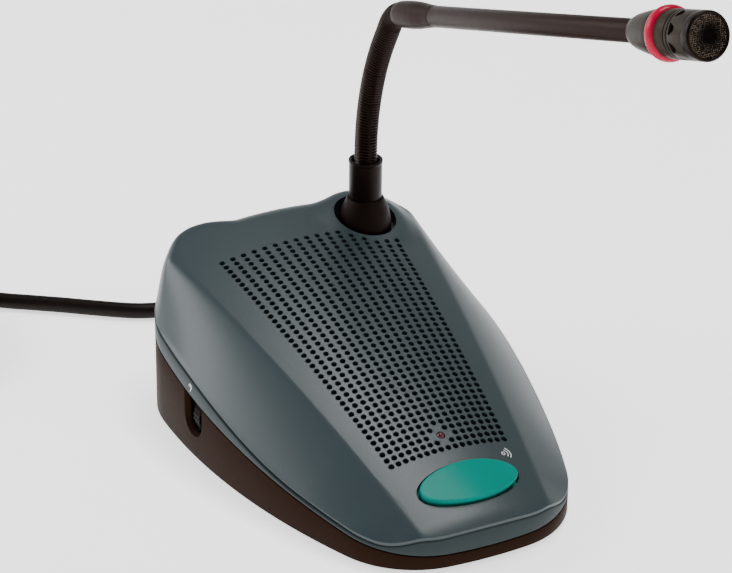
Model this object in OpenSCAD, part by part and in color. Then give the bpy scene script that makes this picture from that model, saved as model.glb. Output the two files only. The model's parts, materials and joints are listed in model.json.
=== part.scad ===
// Desk conference microphone unit: a wedge-shaped case with a loudspeaker under a
// perforated deck, one large talk key, a thumb wheel for volume, and a microphone on a
// gooseneck at the rear right. Millimetres. The front faces -Y, the user's right is +X,
// and the origin is on the table under the middle of the case.

/* [Case] */
// Length of the case, front to rear
case_len = 187; // [182:1:195]
// Width of the case at its widest place
case_w = 127.3; // [124:0.1:134]
// Distance from the front to the widest place
widest_back = 123; // [118:1:128]
// Radius of the bowed sides in plan
side_r = 281; // [260:1:300]
// Radius of the bowed front in plan
front_r = 158; // [130:1:190]
// Radius of the front corners in plan
front_corner_r = 35; // [31:1:38]
// Radius of the slightly bowed rear in plan
rear_r = 570; // [450:10:700]
// Radius of the rear corners in plan
rear_corner_r = 46; // [42:1:48]
// Height of the seam between the shells at the front
seam_front_h = 6.3; // [6:0.1:7]
// Height of the seam between the shells at the rear
seam_rear_h = 37.6; // [36:0.1:39]
// Wall of both shells
wall = 2.4; // [2:0.1:2.8]
// Gap between the case and the table
stand_h = 1.2; // [0.8:0.1:1.8]
// Thickness of the case floor
floor_t = 3; // [2.8:0.1:3.6]
// Height of the bevel round the lower edge of the case
lower_bevel = 0.8; // [0.4:0.1:1.2]

/* [Deck] */
// Height of the deck at the front edge
deck_front_h = 16.7; // [16.2:0.1:17.6]
// Height of the deck over the middle of the case
deck_mid_h = 52; // [51.4:0.1:53]
// Height of the deck carried on to the rear edge
deck_rear_h = 74; // [73:0.1:75.4]
// Radius of the deck's crown across the case, at the middle
crown_r = 158; // [145:1:180]
// Width of the raised deck at the front
deck_front_w = 50.6; // [48:0.2:53]
// Width of the raised deck at the rear
deck_rear_w = 112; // [109:0.5:115]
// Depth of the step beside the deck at the rear
crease_step = 1; // [0.6:0.1:1.4]
// Width of the soft step beside the deck at the front
blend_front = 2.5; // [2:0.1:4]
// Width of the soft step beside the deck at the rear
blend_rear = 11; // [9:0.5:13]
// Height of the side band at its lowest, near the front corners
band_low = 3.6; // [3.3:0.1:4.4]
// Height of the side band along the rear
band_high = 9.2; // [8.4:0.1:10]
// Height of the shadow groove above the band
groove_h = 0.7; // [0.5:0.1:1]
// Depth of the shadow groove
groove_d = 0.8; // [0.4:0.1:1]

/* [Grille] */
// Diameter of a grille hole
hole_d = 2.3; // [1.8:0.1:2.4]
// Rows of grille holes, front to rear
hole_rows = 41; // [31:1:41]
// Columns of grille holes
hole_cols = 17; // [13:2:17]
// Pitch of the rows
row_pitch = 2.86; // [2.7:0.02:2.9]
// Pitch of the columns in the front row
pitch_front = 2.9; // [2.7:0.05:3]
// Pitch of the columns in the rear row
pitch_rear = 4.5; // [4.2:0.05:4.6]
// Distance of the front row from the front of the case
grille_back = 32; // [31.6:0.1:34]
// Row in which the status light takes the place of holes
light_row = 2; // [2:1:3]
// Diameter of the status light
light_d = 3; // [2.5:0.1:3.4]

/* [Talk key] */
// Length of the talk key's opening, across the case
key_w = 39.8; // [36:0.2:41]
// Depth of the talk key's opening, front to rear
key_l = 17.8; // [16:0.2:18.6]
// Distance of the key's middle from the front of the case
key_back = 16.6; // [16:0.1:17.4]
// Gap round the key
key_gap = 0.35; // [0.3:0.05:0.6]
// Height of the key above the deck
key_proud = 1.6; // [1:0.1:2]
// Travel of the key
key_travel = 1.2; // [0.8:0.1:1.4]
// Diameter of the key's stem
stem_d = 7; // [6:0.5:8]
// Radial clearance of the stem and the plunger in their guides
slide_gap = 0.05; // [0.03:0.01:0.1]

/* [Speaker] */
// Diameter of the loudspeaker's flange
speaker_d = 66; // [60:1:68]
// Depth of the basket under the flange
basket_h = 9; // [8:0.5:10]
// Diameter of the magnet
magnet_d = 32; // [26:1:36]
// Height of the magnet
magnet_h = 6; // [5:0.5:7]

/* [Volume wheel] */
// Diameter of the volume wheel
wheel_d = 16; // [15:0.2:16.4]
// Thickness of the volume wheel
wheel_t = 5; // [4:0.2:5.2]
// Grip notches round the volume wheel
wheel_notches = 24; // [16:1:30]
// Diameter of the wheel's shaft
shaft_d = 6; // [4:0.5:6]
// Width of the slot in the side wall
slot_w = 12.6; // [12:0.2:13.4]
// Distance of the slot's middle behind the middle of the case
slot_back = 21; // [20.4:0.2:23]
// Depth of the wheel's rim inside the outer face of the wall
wheel_inset = 0.6; // [0.4:0.1:1]

/* [Neck] */
// Distance of the neck to the right of the middle
neck_x = 29.3; // [28:0.1:30.5]
// Distance of the neck in front of the rear of the case
neck_front = 33.2; // [32:0.1:34]
// Diameter of the well that the neck stands in
well_d = 24.6; // [23.4:0.2:25.2]
// Height of the well's floor above the table
well_h = 61.2; // [60.6:0.1:61.8]
// Diameter of the boot at its foot
boot_d = 20.8; // [19.6:0.2:21.2]
// Height of the boot
boot_h = 13.8; // [12:0.2:15]
// Diameter of the sleeve
sleeve_d = 13; // [12.6:0.1:13.4]
// Height of the sleeve above the well's floor
sleeve_h = 29.8; // [28:0.2:32]
// Outer diameter of the gooseneck over its ribs
neck_d = 9; // [8.8:0.1:9.2]
// Depth of the grooves between the ribs
rib_depth = 0.45; // [0.3:0.05:0.6]
// Pitch of the ribs
rib_pitch = 1.05; // [1:0.05:1.4]
// Bore of the gooseneck
neck_bore = 2.4; // [2:0.1:2.6]
// Straight length of the gooseneck above the sleeve
neck_rise = 1; // [0.6:0.1:2]
// Radius of the gooseneck's long lean
lean_r = 105; // [98:1:115]
// Angle that the gooseneck leans before its bend
lean_a = 30; // [28:0.5:32]
// Straight length between the lean and the bend
lean_run = 9.8; // [9:0.1:11]
// Radius of the gooseneck's bend
bend_r = 14.5; // [13.5:0.5:16]
// Length of neck between two of its joints
link_len = 14.6; // [14.4:0.1:15]
// Gap between two links of the neck
link_gap = 1.7; // [1.6:0.1:2]
// Diameter of the ball at the end of a link
ball_d = 5; // [4.6:0.1:5.2]
// Radial clearance of a ball in its socket
ball_gap = 0.3; // [0.25:0.05:0.35]

/* [Boom and head] */
// Angle of the boom above the horizontal
boom_rise = 16.4; // [14:0.1:19]
// Diameter of the ferrule
ferrule_d = 10.4; // [10.3:0.1:11]
// Length of the ferrule
ferrule_len = 27; // [25:0.5:30]
// Diameter of the boom tube
boom_d = 8; // [7.6:0.1:8.2]
// Length of the boom tube between the ferrule and the head
boom_len = 137.2; // [120:0.2:160]
// Length of the flared collar behind the light ring
collar_len = 17.4; // [16:0.1:20]
// Diameter of the light ring
ring_d = 18.3; // [18:0.1:19.4]
// Width of the light ring
ring_w = 4.3; // [3.8:0.1:5.2]
// Diameter of the microphone head
head_d = 16; // [15.4:0.1:16.4]
// Length of the head in front of the light ring
head_len = 19.6; // [18:0.1:22]
// Wall of the head
head_wall = 1.2; // [1:0.1:1.4]
// Sound slots round the head
head_slots = 8; // [6:1:10]

/* [Cable] */
// Diameter of the cable
cable_d = 6.6; // [6.4:0.1:6.8]
// Length of the strain relief outside the case
relief_len = 17; // [15:0.5:20]
// Loops of cable in one layer of the coil
coil_loops = 3.25; // [2.25:1:3.25]
// Radius of the coil's outer loop
coil_r = 50; // [49:0.5:52]
// Gap between neighbouring loops of the coil
coil_gap = 0.7; // [0.65:0.05:0.8]
// Thickness of the strap round the coil
tie_t = 0.7; // [0.5:0.1:1]
// Width of the strap round the coil
tie_w = 10; // [8:0.5:14]
// Diameter of the plug
plug_d = 15; // [13:0.5:16]
// Length of the plug
plug_len = 34; // [30:1:40]

/* [Boards and fixings] */
// Thickness of the circuit boards
board_t = 1.6; // [1.2:0.1:2]
// Height of the main board's lower face above the table
board_h = 10; // [9:0.1:10.4]
// Thickness of the ballast plate
ballast_t = 4; // [2:0.5:5]
// Diameter of the case screws
screw_d = 3; // [2.6:0.1:3.4]
// Diameter of the small screws on boards and speaker
small_screw_d = 2.4; // [2:0.1:2.6]
// Clearance of a screw in its hole
screw_gap = 0.05; // [0.03:0.01:0.1]
// Distance of the rubber pad's edge inside the outline of the case
pad_inset = 9; // [7:0.5:12]
// Depth of the rubber pad in the floor
pad_in = 1.3; // [1:0.1:1.4]

/* [Hidden] */
$fn = 48;
eps = 0.01;

slate = [0.33, 0.38, 0.38];
umber = [0.2, 0.16, 0.14];
black = [0.12, 0.11, 0.11];
teal = [0, 0.54, 0.5];
red = [0.8, 0.05, 0.1];
steel = [0.6, 0.61, 0.63];
board_green = [0.1, 0.35, 0.2];

y_front = -case_len / 2;
y_rear = case_len / 2;
y_wide = y_front + widest_back;
half_w = case_w / 2;
floor_top = stand_h + floor_t;
seam_slope = (seam_rear_h - seam_front_h) / case_len;
tall = 80;

// Plan outline. Five arcs follow each other on the right half, each over its own span of
// the outward normal's angle, so an inset outline is the same arcs with smaller radii.
function arc_meet(c0, r0, c1, r1, side) =
    let (d = norm(c1 - c0), u = (c1 - c0) / d, a = (r0 * r0 - r1 * r1 + d * d) / (2 * d))
    c0 + a * u + side * sqrt(r0 * r0 - a * a) * [-u[1], u[0]];
function heading(v) = atan2(v[1], v[0]);

front_c = [0, y_front + front_r];
side_c = [half_w - side_r, y_wide];
rear_c = [0, y_rear - rear_r];
front_corner_c = arc_meet(side_c, side_r - front_corner_r, front_c, front_r - front_corner_r, -1);
rear_corner_c = arc_meet(side_c, side_r - rear_corner_r, rear_c, rear_r - rear_corner_r, 1);
turn = [
    -88.4,
    heading(front_corner_c - front_c),
    heading(front_corner_c - side_c),
    heading(rear_corner_c - side_c),
    heading(rear_corner_c - rear_c),
    89.6
];
arc_c = [front_c, front_corner_c, side_c, rear_corner_c, rear_c];
arc_r = [front_r, front_corner_r, side_r, rear_corner_r, rear_r];
arc_steps = [4, 9, 14, 11, 3];

function outline_pt(k, a, inset) = arc_c[k] + (arc_r[k] - inset) * [cos(a), sin(a)];
function half_outline(inset) = concat(
    [outline_pt(0, turn[0], inset)],
    [for (k = [0:4]) for (i = [1:arc_steps[k]])
        outline_pt(k, turn[k] + (turn[k + 1] - turn[k]) * i / arc_steps[k], inset)]
);
function reversed(list) = [for (i = [len(list) - 1:-1:0]) list[i]];
function mirrored(list) = [for (p = reversed(list)) [-p[0], p[1]]];
function outline(inset) = let (h = half_outline(inset)) concat(h, mirrored(h));
side_rows = len(half_outline(0));

// Heights of the seam, the deck and the ridge above the band
function ramp(t) = let (u = min(1, max(0, t))) u * u * (3 - 2 * u);
function seam_z(y) = seam_front_h + seam_slope * (y - y_front);
deck_lift = (deck_rear_h - deck_front_h) / case_len;
deck_bow = (deck_mid_h - (deck_rear_h + deck_front_h) / 2) / pow(case_len / 2, 2);
y_first_row = y_front + grille_back;
grille_len = row_pitch * (hole_rows - 1);
function hole_pitch(y) = pitch_front + (pitch_rear - pitch_front) * (y - y_first_row) / grille_len;
function crown(y) = hole_pitch(0) / (2 * crown_r * hole_pitch(y));
function deck_z(x, y) = deck_mid_h + deck_lift * y - deck_bow * y * y - crown(y) * x * x;
function deck_tilt(y) = atan(deck_lift - 2 * deck_bow * y);
front_round = 1.4;
front_round_run = 6;
rear_round = 27;
rear_round_run = 22.5;
function end_drop(y) =
    front_round * pow(max(0, y_front + front_round_run - y) / front_round_run, 2)
    + rear_round * pow(max(0, y - y_rear + rear_round_run) / rear_round_run, 2);
function along(y) = (y - y_front) / case_len;
function deck_half(y) = (deck_front_w + (deck_rear_w - deck_front_w) * along(y)) / 2;
function blend_w(y) = blend_front + (blend_rear - blend_front) * along(y);
function step_h(y) = crease_step * ramp(along(y) * 1.6);
band_from = -46;
band_to = 31;
rise_from = 40;
rise_to = 24;
function band_h(y) = band_low + (band_high - band_low) * ramp((y - band_from) / (band_to - band_from));
function ridge_z(p) =
    let (side = seam_z(p[1]) + band_h(p[1]), f = ramp((rise_from - p[0]) / (rise_from - rise_to)))
    p[1] > 0 ? side : side + (deck_z(p[0], p[1]) - end_drop(p[1]) - side) * f;

// The upper skin: rows of points across the case, each from ridge to ridge. A row has the
// crowned deck, the soft step beside it and the flank that falls to the ridge.
deck_marks = [0.12, 0.37, 0.62, 0.85, 1];
flank_marks = [0.3, 0.62, 0.85, 1];
deck_share = 0.8;
crease_share = 0.9;
flank_power = 1.3;
ridge_inset = 0.35;
function row_half(p, drop) =
    let (
        y = p[1],
        q = min(deck_half(y), p[0] * crease_share),
        e = min(deck_half(y) - blend_w(y), p[0] * deck_share),
        zr = ridge_z(p),
        zq = max(zr, deck_z(q, y) - end_drop(y) - step_h(y))
    )
    concat(
        [for (m = deck_marks) [e * m, y, deck_z(e * m, y) - end_drop(y) - drop]],
        [[q, y, zq - drop]],
        [for (m = flank_marks) [q + (p[0] - q) * m, y, zq + (zr - zq) * pow(m, flank_power) - drop]]
    );
function row_full(p, drop) =
    let (h = row_half(p, drop))
    concat([for (v = reversed(h)) [-v[0], v[1], v[2]]], h);
cols = 2 * (len(deck_marks) + 1 + len(flank_marks));

function ring_flat(inset) = [for (p = outline(inset)) [p[0], p[1], seam_z(p[1])]];
function ring_under_ridge(inset, below) =
    let (base = half_outline(ridge_inset), h = half_outline(inset))
    concat(
        [for (i = [0:side_rows - 1]) [h[i][0], h[i][1], ridge_z(base[i]) - below]],
        [for (i = [side_rows - 1:-1:0]) [-h[i][0], h[i][1], ridge_z(base[i]) - below]]
    );

// A closed solid under the upper skin: rings from the seam up to the ridge, then the rows
module skin_solid(rings, inset, drop) {
    rows = [for (p = half_outline(inset)) row_full(p, drop)];
    n = 2 * side_rows;
    ring_n = len(rings);
    grid_from = n * ring_n;
    points = concat([for (ring = rings) each ring], [for (row = rows) each row]);
    function at(r, c) = grid_from + r * cols + c;
    function ridge_at(i) = i < side_rows ? at(i, cols - 1) : at(n - 1 - i, 0);
    under = grid_from - n;
    caps = [
        reversed([for (i = [0:n - 1]) i]),
        concat([for (c = [0:cols - 1]) at(0, c)], [under, under + n - 1]),
        concat([for (c = [cols - 1:-1:0]) at(side_rows - 1, c)], [under + side_rows, under + side_rows - 1])
    ];
    walls = [for (r = [0:1:ring_n - 2]) for (i = [0:n - 1])
        let (a = r * n + i, b = r * n + (i + 1) % n)
        each [[a, b, b + n], [a, b + n, a + n]]];
    lips = [for (i = [0:n - 2]) if (i != side_rows - 1)
        each [[under + i, under + i + 1, ridge_at(i + 1)], [under + i, ridge_at(i + 1), ridge_at(i)]]];
    tops = [for (r = [0:side_rows - 2]) for (c = [0:cols - 2])
        each [[at(r, c), at(r, c + 1), at(r + 1, c + 1)], [at(r, c), at(r + 1, c + 1), at(r + 1, c)]]];
    fans = [for (cap = [caps[1], caps[2]]) for (i = [0:cols - 2])
        [cap[cols + 1], cap[i], cap[i + 1]]];
    fan_ends = [for (cap = [caps[1], caps[2]]) [cap[cols + 1], cap[cols - 1], cap[cols]]];
    flipped = [for (f = concat(walls, lips, tops)) [f[2], f[1], f[0]]];
    polyhedron(points, concat([reversed(caps[0])], flipped, fans, fan_ends));
}

module top_outside() {
    skin_solid(
        [
            ring_flat(0),
            ring_under_ridge(0, groove_h * 2),
            ring_under_ridge(groove_d + ridge_inset, groove_h * 2 - eps * 10),
            ring_under_ridge(groove_d + ridge_inset, groove_h)
        ],
        ridge_inset, 0
    );
}

module top_inside() {
    inner = wall + groove_d;
    below = [for (p = ring_flat(inner)) p - [0, 0, wall]];
    skin_solid([below], inner, wall);
}

// Places: on the deck at a distance from the middle, tilted as the deck is
module on_deck(y) {
    translate([0, y, deck_z(0, y)])
        rotate([deck_tilt(y), 0, 0])
            children();
}

module tube(d, bore, h) {
    difference() {
        cylinder(d = d, h = h);
        translate([0, 0, -1])
            cylinder(d = bore, h = h + 2);
    }
}

module both_sides(p) {
    for (s = [-1, 1])
        translate([s * p[0], p[1], 0])
            children();
}

// Case screws: two in front and two behind, up from the floor into bosses under the top
front_screw_in = 26.65;
front_screw_back = 32;
key_post_x = key_w / 2 + 5.7;
key_board_half = key_post_x + 4;
rear_screw_in = 11.65;
rear_screw_front = 50;
boss_d = 9;
case_screw_at = [
    [max(half_w - front_screw_in, key_board_half + boss_d / 2 + 0.5), y_front + front_screw_back],
    [half_w - rear_screw_in, y_rear - rear_screw_front]
];
head_h = 2.2;
screw_head_d = 2 * screw_d;
seat_below_seam = 7;
reach_above_seam = 7;
boss_hole_d = screw_d + 2 * screw_gap;

// Main board and ballast, both held to posts on the floor
board_x = [-45, 40];
board_y = [-34, slot_back + 9.4];
board_edge = 6;
post_d = 6;
post_at = [
    for (x = [board_x[0] + board_edge, board_x[1] - board_edge])
    for (y = [board_y[0] + board_edge, board_y[1] - board_edge]) [x, y]
];
ballast_w = 76;
ballast_l = 46;
ballast_front = 35;
ballast_y = y_rear - ballast_front;
ballast_stud_d = 6;
ballast_stud_x = 28;
ballast_gap = 0.1;
pan_head_h = 1.8;
pan_head_d = 2 * small_screw_d;
small_hole_d = small_screw_d + 2 * screw_gap;

// Volume wheel: its shaft runs in the body of the potentiometer behind it
side_x = half_w - side_r + sqrt(side_r * side_r - pow(slot_back - y_wide, 2));
wheel_x = -side_x + wheel_inset + wheel_d / 2;
slot_bottom = 11.2;
wheel_z = (slot_bottom + seam_z(slot_back)) / 2;
wheel_y = slot_back - slot_w / 2 + 2.2;
pot_gap = 0.5;
pot_y = wheel_y + wheel_t + pot_gap;
pot_w = 11;
pot_t = 6.5;
ear_front = pot_y - 0.3;

// Talk key, from its cap down: lip, stem, guide plate, switch, board
key_y = y_front + key_back;
key_crown_r = 1 / (2 * crown(key_y));
lip_w = 1.2;
lip_h = 1.2;
deck_sag = crown(key_y) * pow(key_w / 2, 2);
lip_top = -(wall + deck_sag + 0.6);
guide_top = lip_top - lip_h - key_travel - 0.3;
guide_t = 2;
guide_l = 14;
stem_end = guide_top - guide_t - 1;
switch_rise = 1;
switch_top = stem_end - switch_rise - 0.3;
switch_h = 3.6;
switch_w = 12;
key_board_top = switch_top - switch_h;
key_post_d = 6;
plunger_d = 3.4;
light_y = y_first_row + light_row * row_pitch;
key_tilt = deck_tilt(key_y);
light_rise = deck_z(0, light_y) - deck_z(0, key_y);
light_dy = (light_y - key_y) * cos(key_tilt) + light_rise * sin(key_tilt);
light_dz = light_rise * cos(key_tilt) - (light_y - key_y) * sin(key_tilt);
led_h = 3;

// Loudspeaker, hung under a round seat on the deck
speaker_y = 0;
seat_depth = 9;
cloth_t = 0.3;
gasket_t = 1;
flange_t = 1.5;
speaker_wall = 3;
speaker_screw_edge = 2.5;
speaker_screw_r = speaker_d / 2 - speaker_screw_edge;
basket_wall = 1.2;
pan_head_gap = 0.3;
speaker_bore = 2 * (speaker_screw_r - pan_head_gap - basket_wall) - pan_head_d;
cloth_top = -seat_depth;
gasket_top = cloth_top - cloth_t;
flange_top = gasket_top - gasket_t;
basket_end = flange_top - flange_t - basket_h;

// Neck: a place on its centre line is given by the length s from the sleeve's rim
neck_y = y_rear - neck_front;
neck_z = well_h + sleeve_h;
boom_turn = 90 - boom_rise;
s1 = neck_rise;
s2 = s1 + lean_r * lean_a * PI / 180;
s3 = s2 + lean_run;
s4 = s3 + bend_r * (boom_turn - lean_a) * PI / 180;
function lean_pos(a) = [neck_y - lean_r * (1 - cos(a)), neck_z + s1 + lean_r * sin(a)];
function run_pos(l) = lean_pos(lean_a) + l * [-sin(lean_a), cos(lean_a)];
function bend_pos(a) =
    run_pos(lean_run) + bend_r * [cos(a) - cos(lean_a), sin(a) - sin(lean_a)];
function neck_angle(s) =
    s < s1 ? 0
    : s < s2 ? (s - s1) / lean_r * 180 / PI
    : s < s3 ? lean_a
    : s < s4 ? lean_a + (s - s3) / bend_r * 180 / PI
    : boom_turn;
function neck_yz(s) =
    s < s1 ? [neck_y, neck_z + s]
    : s < s2 ? lean_pos(neck_angle(s))
    : s < s3 ? run_pos(s - s2)
    : s < s4 ? bend_pos(neck_angle(s))
    : bend_pos(boom_turn) + (s - s4) * [-sin(boom_turn), cos(boom_turn)];
first_joint = 4;
links = 5;
function joint_s(i) = first_joint + i * link_len;
tail_len = neck_d;
neck_sides = 8;
root_r = neck_d / 2 - rib_depth;

module on_neck(s) {
    p = neck_yz(s);
    translate([neck_x, p[0], p[1]])
        rotate([neck_angle(s), 0, 0])
            children();
}

module on_boom(l) {
    on_neck(s4 + l)
        children();
}

// A ribbed stretch of the neck with its bore, swept from s0 to s1 in rings of few sides
module ribbed_neck(from, to) {
    ribs = max(2, round((to - from) / rib_pitch));
    marks = [for (i = [0:2 * ribs]) from + (to - from) * i / (2 * ribs)];
    radii = [for (i = [0:2 * ribs]) i % 2 == 0 ? root_r : neck_d / 2];
    function ring(s, r) =
        let (p = neck_yz(s), a = neck_angle(s))
        [for (k = [0:neck_sides - 1])
            let (t = 360 * (k + 0.5) / neck_sides, u = r * sin(t))
            [neck_x + r * cos(t), p[0] + u * cos(a), p[1] + u * sin(a)]];
    n = neck_sides;
    m = len(marks);
    outer = [for (i = [0:m - 1]) each ring(marks[i], radii[i])];
    inner = [for (i = [0:m - 1]) if (i % 2 == 0) each ring(marks[i], neck_bore / 2)];
    mi = ribs + 1;
    base = n * m;
    skin = [for (i = [0:m - 2]) for (k = [0:n - 1])
        let (a = i * n + k, b = i * n + (k + 1) % n)
        each [[a, b + n, b], [a, a + n, b + n]]];
    hole = [for (i = [0:mi - 2]) for (k = [0:n - 1])
        let (a = base + i * n + k, b = base + i * n + (k + 1) % n)
        each [[a, b, b + n], [a, b + n, a + n]]];
    foot = [for (k = [0:n - 1])
        let (j = (k + 1) % n)
        each [[k, j, base + j], [k, base + j, base + k]]];
    last = n * (m - 1);
    last_in = base + n * (mi - 1);
    head = [for (k = [0:n - 1])
        let (j = (k + 1) % n)
        each [[last + k, last_in + j, last + j], [last + k, last_in + k, last_in + j]]];
    polyhedron(concat(outer, inner), concat(skin, hole, foot, head));
}

module neck_ball(s) {
    on_neck(s)
        difference() {
            sphere(d = ball_d);
            cylinder(d = neck_bore, h = ball_d + 2, center = true, $fn = 8);
        }
}

module neck_socket(s) {
    on_neck(s)
        sphere(d = ball_d + 2 * ball_gap);
}

module neck_link(i) {
    last = i == links;
    from = joint_s(i - 1) + link_gap / 2;
    to = last ? s4 + tail_len : joint_s(i) - link_gap / 2;
    color(black) {
        difference() {
            ribbed_neck(from, to);
            neck_socket(joint_s(i - 1));
        }
        if (!last)
            neck_ball(joint_s(i));
    }
}

// Cable: straight out of the slanted outlet, down to the table and round to the coil
outlet_x = 20;
outlet_z = 12;
outlet_at = [outlet_x, y_rear - 0.3, outlet_z];
outlet_turn = 0;
outlet_d = 13;
relief_root_d = 9;
relief_tip_d = 7.6;
relief_flange_d = 12;
relief_flange_t = 2;
outlet_out = 5;
outlet_in = 8;
relief_tip = outlet_at + relief_len * [-sin(outlet_turn), cos(outlet_turn), 0];
coil_c = [-145, 160];
coil_z = tie_t + cable_d / 2 + 0.5;
cable_route = [
    relief_tip,
    relief_tip + [0, 3, 0],
    [19.7, 117.5, 11.4],
    [17.4, 122.8, 9.9],
    [13, 128, 8.1],
    [6.6, 131.8, 6.3],
    [-1, 134.2, 4.9],
    [-9.5, 135.6, 3.9],
    [-18, 136.4, 3.5],
    [-25, 137.3, 3.4],
    [-31, 139, 3.4],
    [-37, 141.9, 3.4],
    [-43.5, 146.4, 3.4],
    [-51.5, 152.5, 3.4],
    [-61, 159.9, 3.4],
    [-71.5, 167.6, 3.4],
    [-82, 175.3, 3.4],
    [-92.6, 184.6, 3.6]
];

// The lower layer winds in and the upper layer winds out. The cable climbs in the half turn
// about the reversal, then swings out past the lower layer and sinks towards the plug.
coil_start_a = 53.5;
coil_pitch = cable_d + coil_gap;
coil_steps = 24;
leave_from = 2 * coil_loops - 0.7;
leave_to = leave_from + 0.3;
all_turns = leave_from + 0.65;
plug_z = plug_d / 2 + 0.4;
leave_r = coil_r + 1.7 * coil_pitch;
function coil_wound(t) = coil_r - coil_pitch * coil_loops + coil_pitch * abs(t - coil_loops);
function coil_radius(t) =
    t <= leave_from ? coil_wound(t)
    : coil_wound(leave_from) + (leave_r - coil_wound(leave_from)) * ramp((t - leave_from) / 0.36);
function coil_height(t) =
    t <= leave_to ? coil_z + coil_pitch * ramp((t - coil_loops + 0.25) / 0.5)
    : coil_z + coil_pitch + (plug_z - coil_z - coil_pitch) * ramp((t - leave_to) / 0.32);
function coil_pt(t) =
    let (a = coil_start_a + 360 * t, r = coil_radius(t))
    [coil_c[0] + r * cos(a), coil_c[1] + r * sin(a), coil_height(t)];
coil_n = round(all_turns * coil_steps);
coil_turn_route = [for (i = [0:coil_n]) coil_pt(all_turns * i / coil_n)];
coil_first = coil_turn_route[0];
coil_last = coil_turn_route[coil_n];
function flat_unit(v) = let (w = [v[0], v[1], 0]) w / norm(w);
coil_in_dir = flat_unit(coil_turn_route[1] - coil_first);
coil_out_dir = flat_unit(coil_last - coil_turn_route[coil_n - 1]);
coil_route = concat([coil_first - cable_d * coil_in_dir], coil_turn_route, [coil_last + cable_d * coil_out_dir]);

// Least gap between loops, over pairs of points more than half a turn apart
coil_self_gap = min([
    for (i = [0:coil_n]) for (j = [i + coil_steps / 2:1:coil_n])
        norm(coil_turn_route[i] - coil_turn_route[j])
]) - cable_d;
echo(coil_self_gap = coil_self_gap);
function route_len(r) = len(r) < 2 ? 0 : [for (i = 1, l = 0; i <= len(r);
    l = l + (i < len(r) ? norm(r[i] - r[i - 1]) : 0), i = i + 1) l][len(r) - 1];
cable_lead = [coil_route[0] - cable_d * coil_in_dir, coil_route[0]];
echo(cable_len = route_len(concat(cable_route, cable_lead)) + route_len(coil_route));

// A round tube swept along a list of points. Each ring is square to the mean of the two
// runs that meet there, and keeps its own up.
module swept(route, d, sides) {
    m = len(route);
    function dir(i) =
        let (a = route[max(0, i - 1)], b = route[min(m - 1, i + 1)])
        (b - a) / norm(b - a);
    rings = [for (i = [0:m - 1])
        let (t = dir(i), u = cross([0, 0, 1], t) / norm(cross([0, 0, 1], t)), v = cross(t, u))
        each [for (k = [0:sides - 1])
            let (a = 360 * (k + 0.5) / sides)
            route[i] + d / 2 * (cos(a) * u + sin(a) * v)]];
    skin = [for (i = [0:m - 2]) for (k = [0:sides - 1])
        let (a = i * sides + k, b = i * sides + (k + 1) % sides)
        each [[a, b + sides, b], [a, a + sides, b + sides]]];
    ends = [[for (k = [0:sides - 1]) k], [for (k = [sides - 1:-1:0]) (m - 1) * sides + k]];
    polyhedron(rings, concat(skin, ends));
}

// Shells

module below_seam() {
    far = 400;
    translate([0, y_front, seam_front_h])
        rotate([atan(seam_slope), 0, 0])
            translate([-far / 2, -far / 2, -far])
                cube(far);
}

module prism(inset, from, to) {
    translate([0, 0, from])
        linear_extrude(to - from)
            polygon(outline(inset));
}

module lower_shell() {
    color(umber)
        difference() {
            intersection() {
                union() {
                    prism(lower_bevel, stand_h, stand_h + lower_bevel);
                    prism(0, stand_h + lower_bevel, tall);
                    outlet_axis(-outlet_in)
                        cylinder(d = outlet_d, h = outlet_in + outlet_out);
                }
                below_seam();
            }
            difference() {
                prism(wall, floor_top, tall);
                lower_posts();
            }
            lower_holes();
        }
}

module lower_posts() {
    for (p = case_screw_at)
        both_sides(p)
            cylinder(d = boss_d, h = tall);
    for (p = post_at)
        translate([p[0], p[1], 0])
            cylinder(d = post_d, h = board_h);
    for (s = [-1, 1])
        translate([s * ballast_stud_x, ballast_y, 0])
            cylinder(d = ballast_stud_d, h = floor_top + ballast_t - ballast_gap);
    outlet_axis(-outlet_in)
        cylinder(d = outlet_d, h = outlet_in + outlet_out);
}

module lower_holes() {
    for (p = case_screw_at) {
        seat = seam_z(p[1]) - seat_below_seam;
        both_sides(p) {
            cylinder(d = screw_head_d + 4 * screw_gap, h = seat);
            cylinder(d = boss_hole_d, h = tall);
        }
    }
    prism(pad_inset - 2 * screw_gap, 0, stand_h + pad_in);
    for (p = post_at)
        translate([p[0], p[1], floor_top])
            cylinder(d = small_hole_d, h = tall);
    for (s = [-1, 1])
        translate([s * ballast_stud_x, ballast_y, floor_top])
            cylinder(d = small_hole_d, h = tall);
    outlet_axis(-outlet_in - 1)
        cylinder(d = relief_root_d + 2 * screw_gap, h = outlet_in + outlet_out + 2);
    outlet_axis(-outlet_in - relief_flange_t)
        cylinder(d = relief_flange_d + 6 * screw_gap, h = relief_flange_t);
    translate([-half_w - 1, slot_back, slot_bottom + slot_w / 2]) {
        rotate([0, 90, 0])
            cylinder(d = slot_w, h = wall + 4);
        translate([0, -slot_w / 2, 0])
            cube([wall + 4, slot_w, tall]);
    }
}

module outlet_axis(l) {
    translate(outlet_at)
        rotate([-90, 0, outlet_turn])
            translate([0, 0, l])
                children();
}

module top_shell() {
    color(slate)
        difference() {
            union() {
                difference() {
                    top_outside();
                    difference() {
                        top_inside();
                        top_bosses();
                    }
                }
                neck_mound();
            }
            top_holes();
            grille_holes();
        }
}

mound_d = 33;
mound_tilt = 17;
mound_roll = 4;
well_depth = 5.6;
cup_floor = 2.4;
mound_top = max(well_h + well_depth, deck_z(neck_x, neck_y));
mound_h = mound_top - well_h + cup_floor + mound_d / 2 * sin(mound_tilt);
stem_thread_d = 10;
washer_t = 1;
nut_h = 4.5;
nut_d = 17;
washer_d = nut_d + 3;

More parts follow.
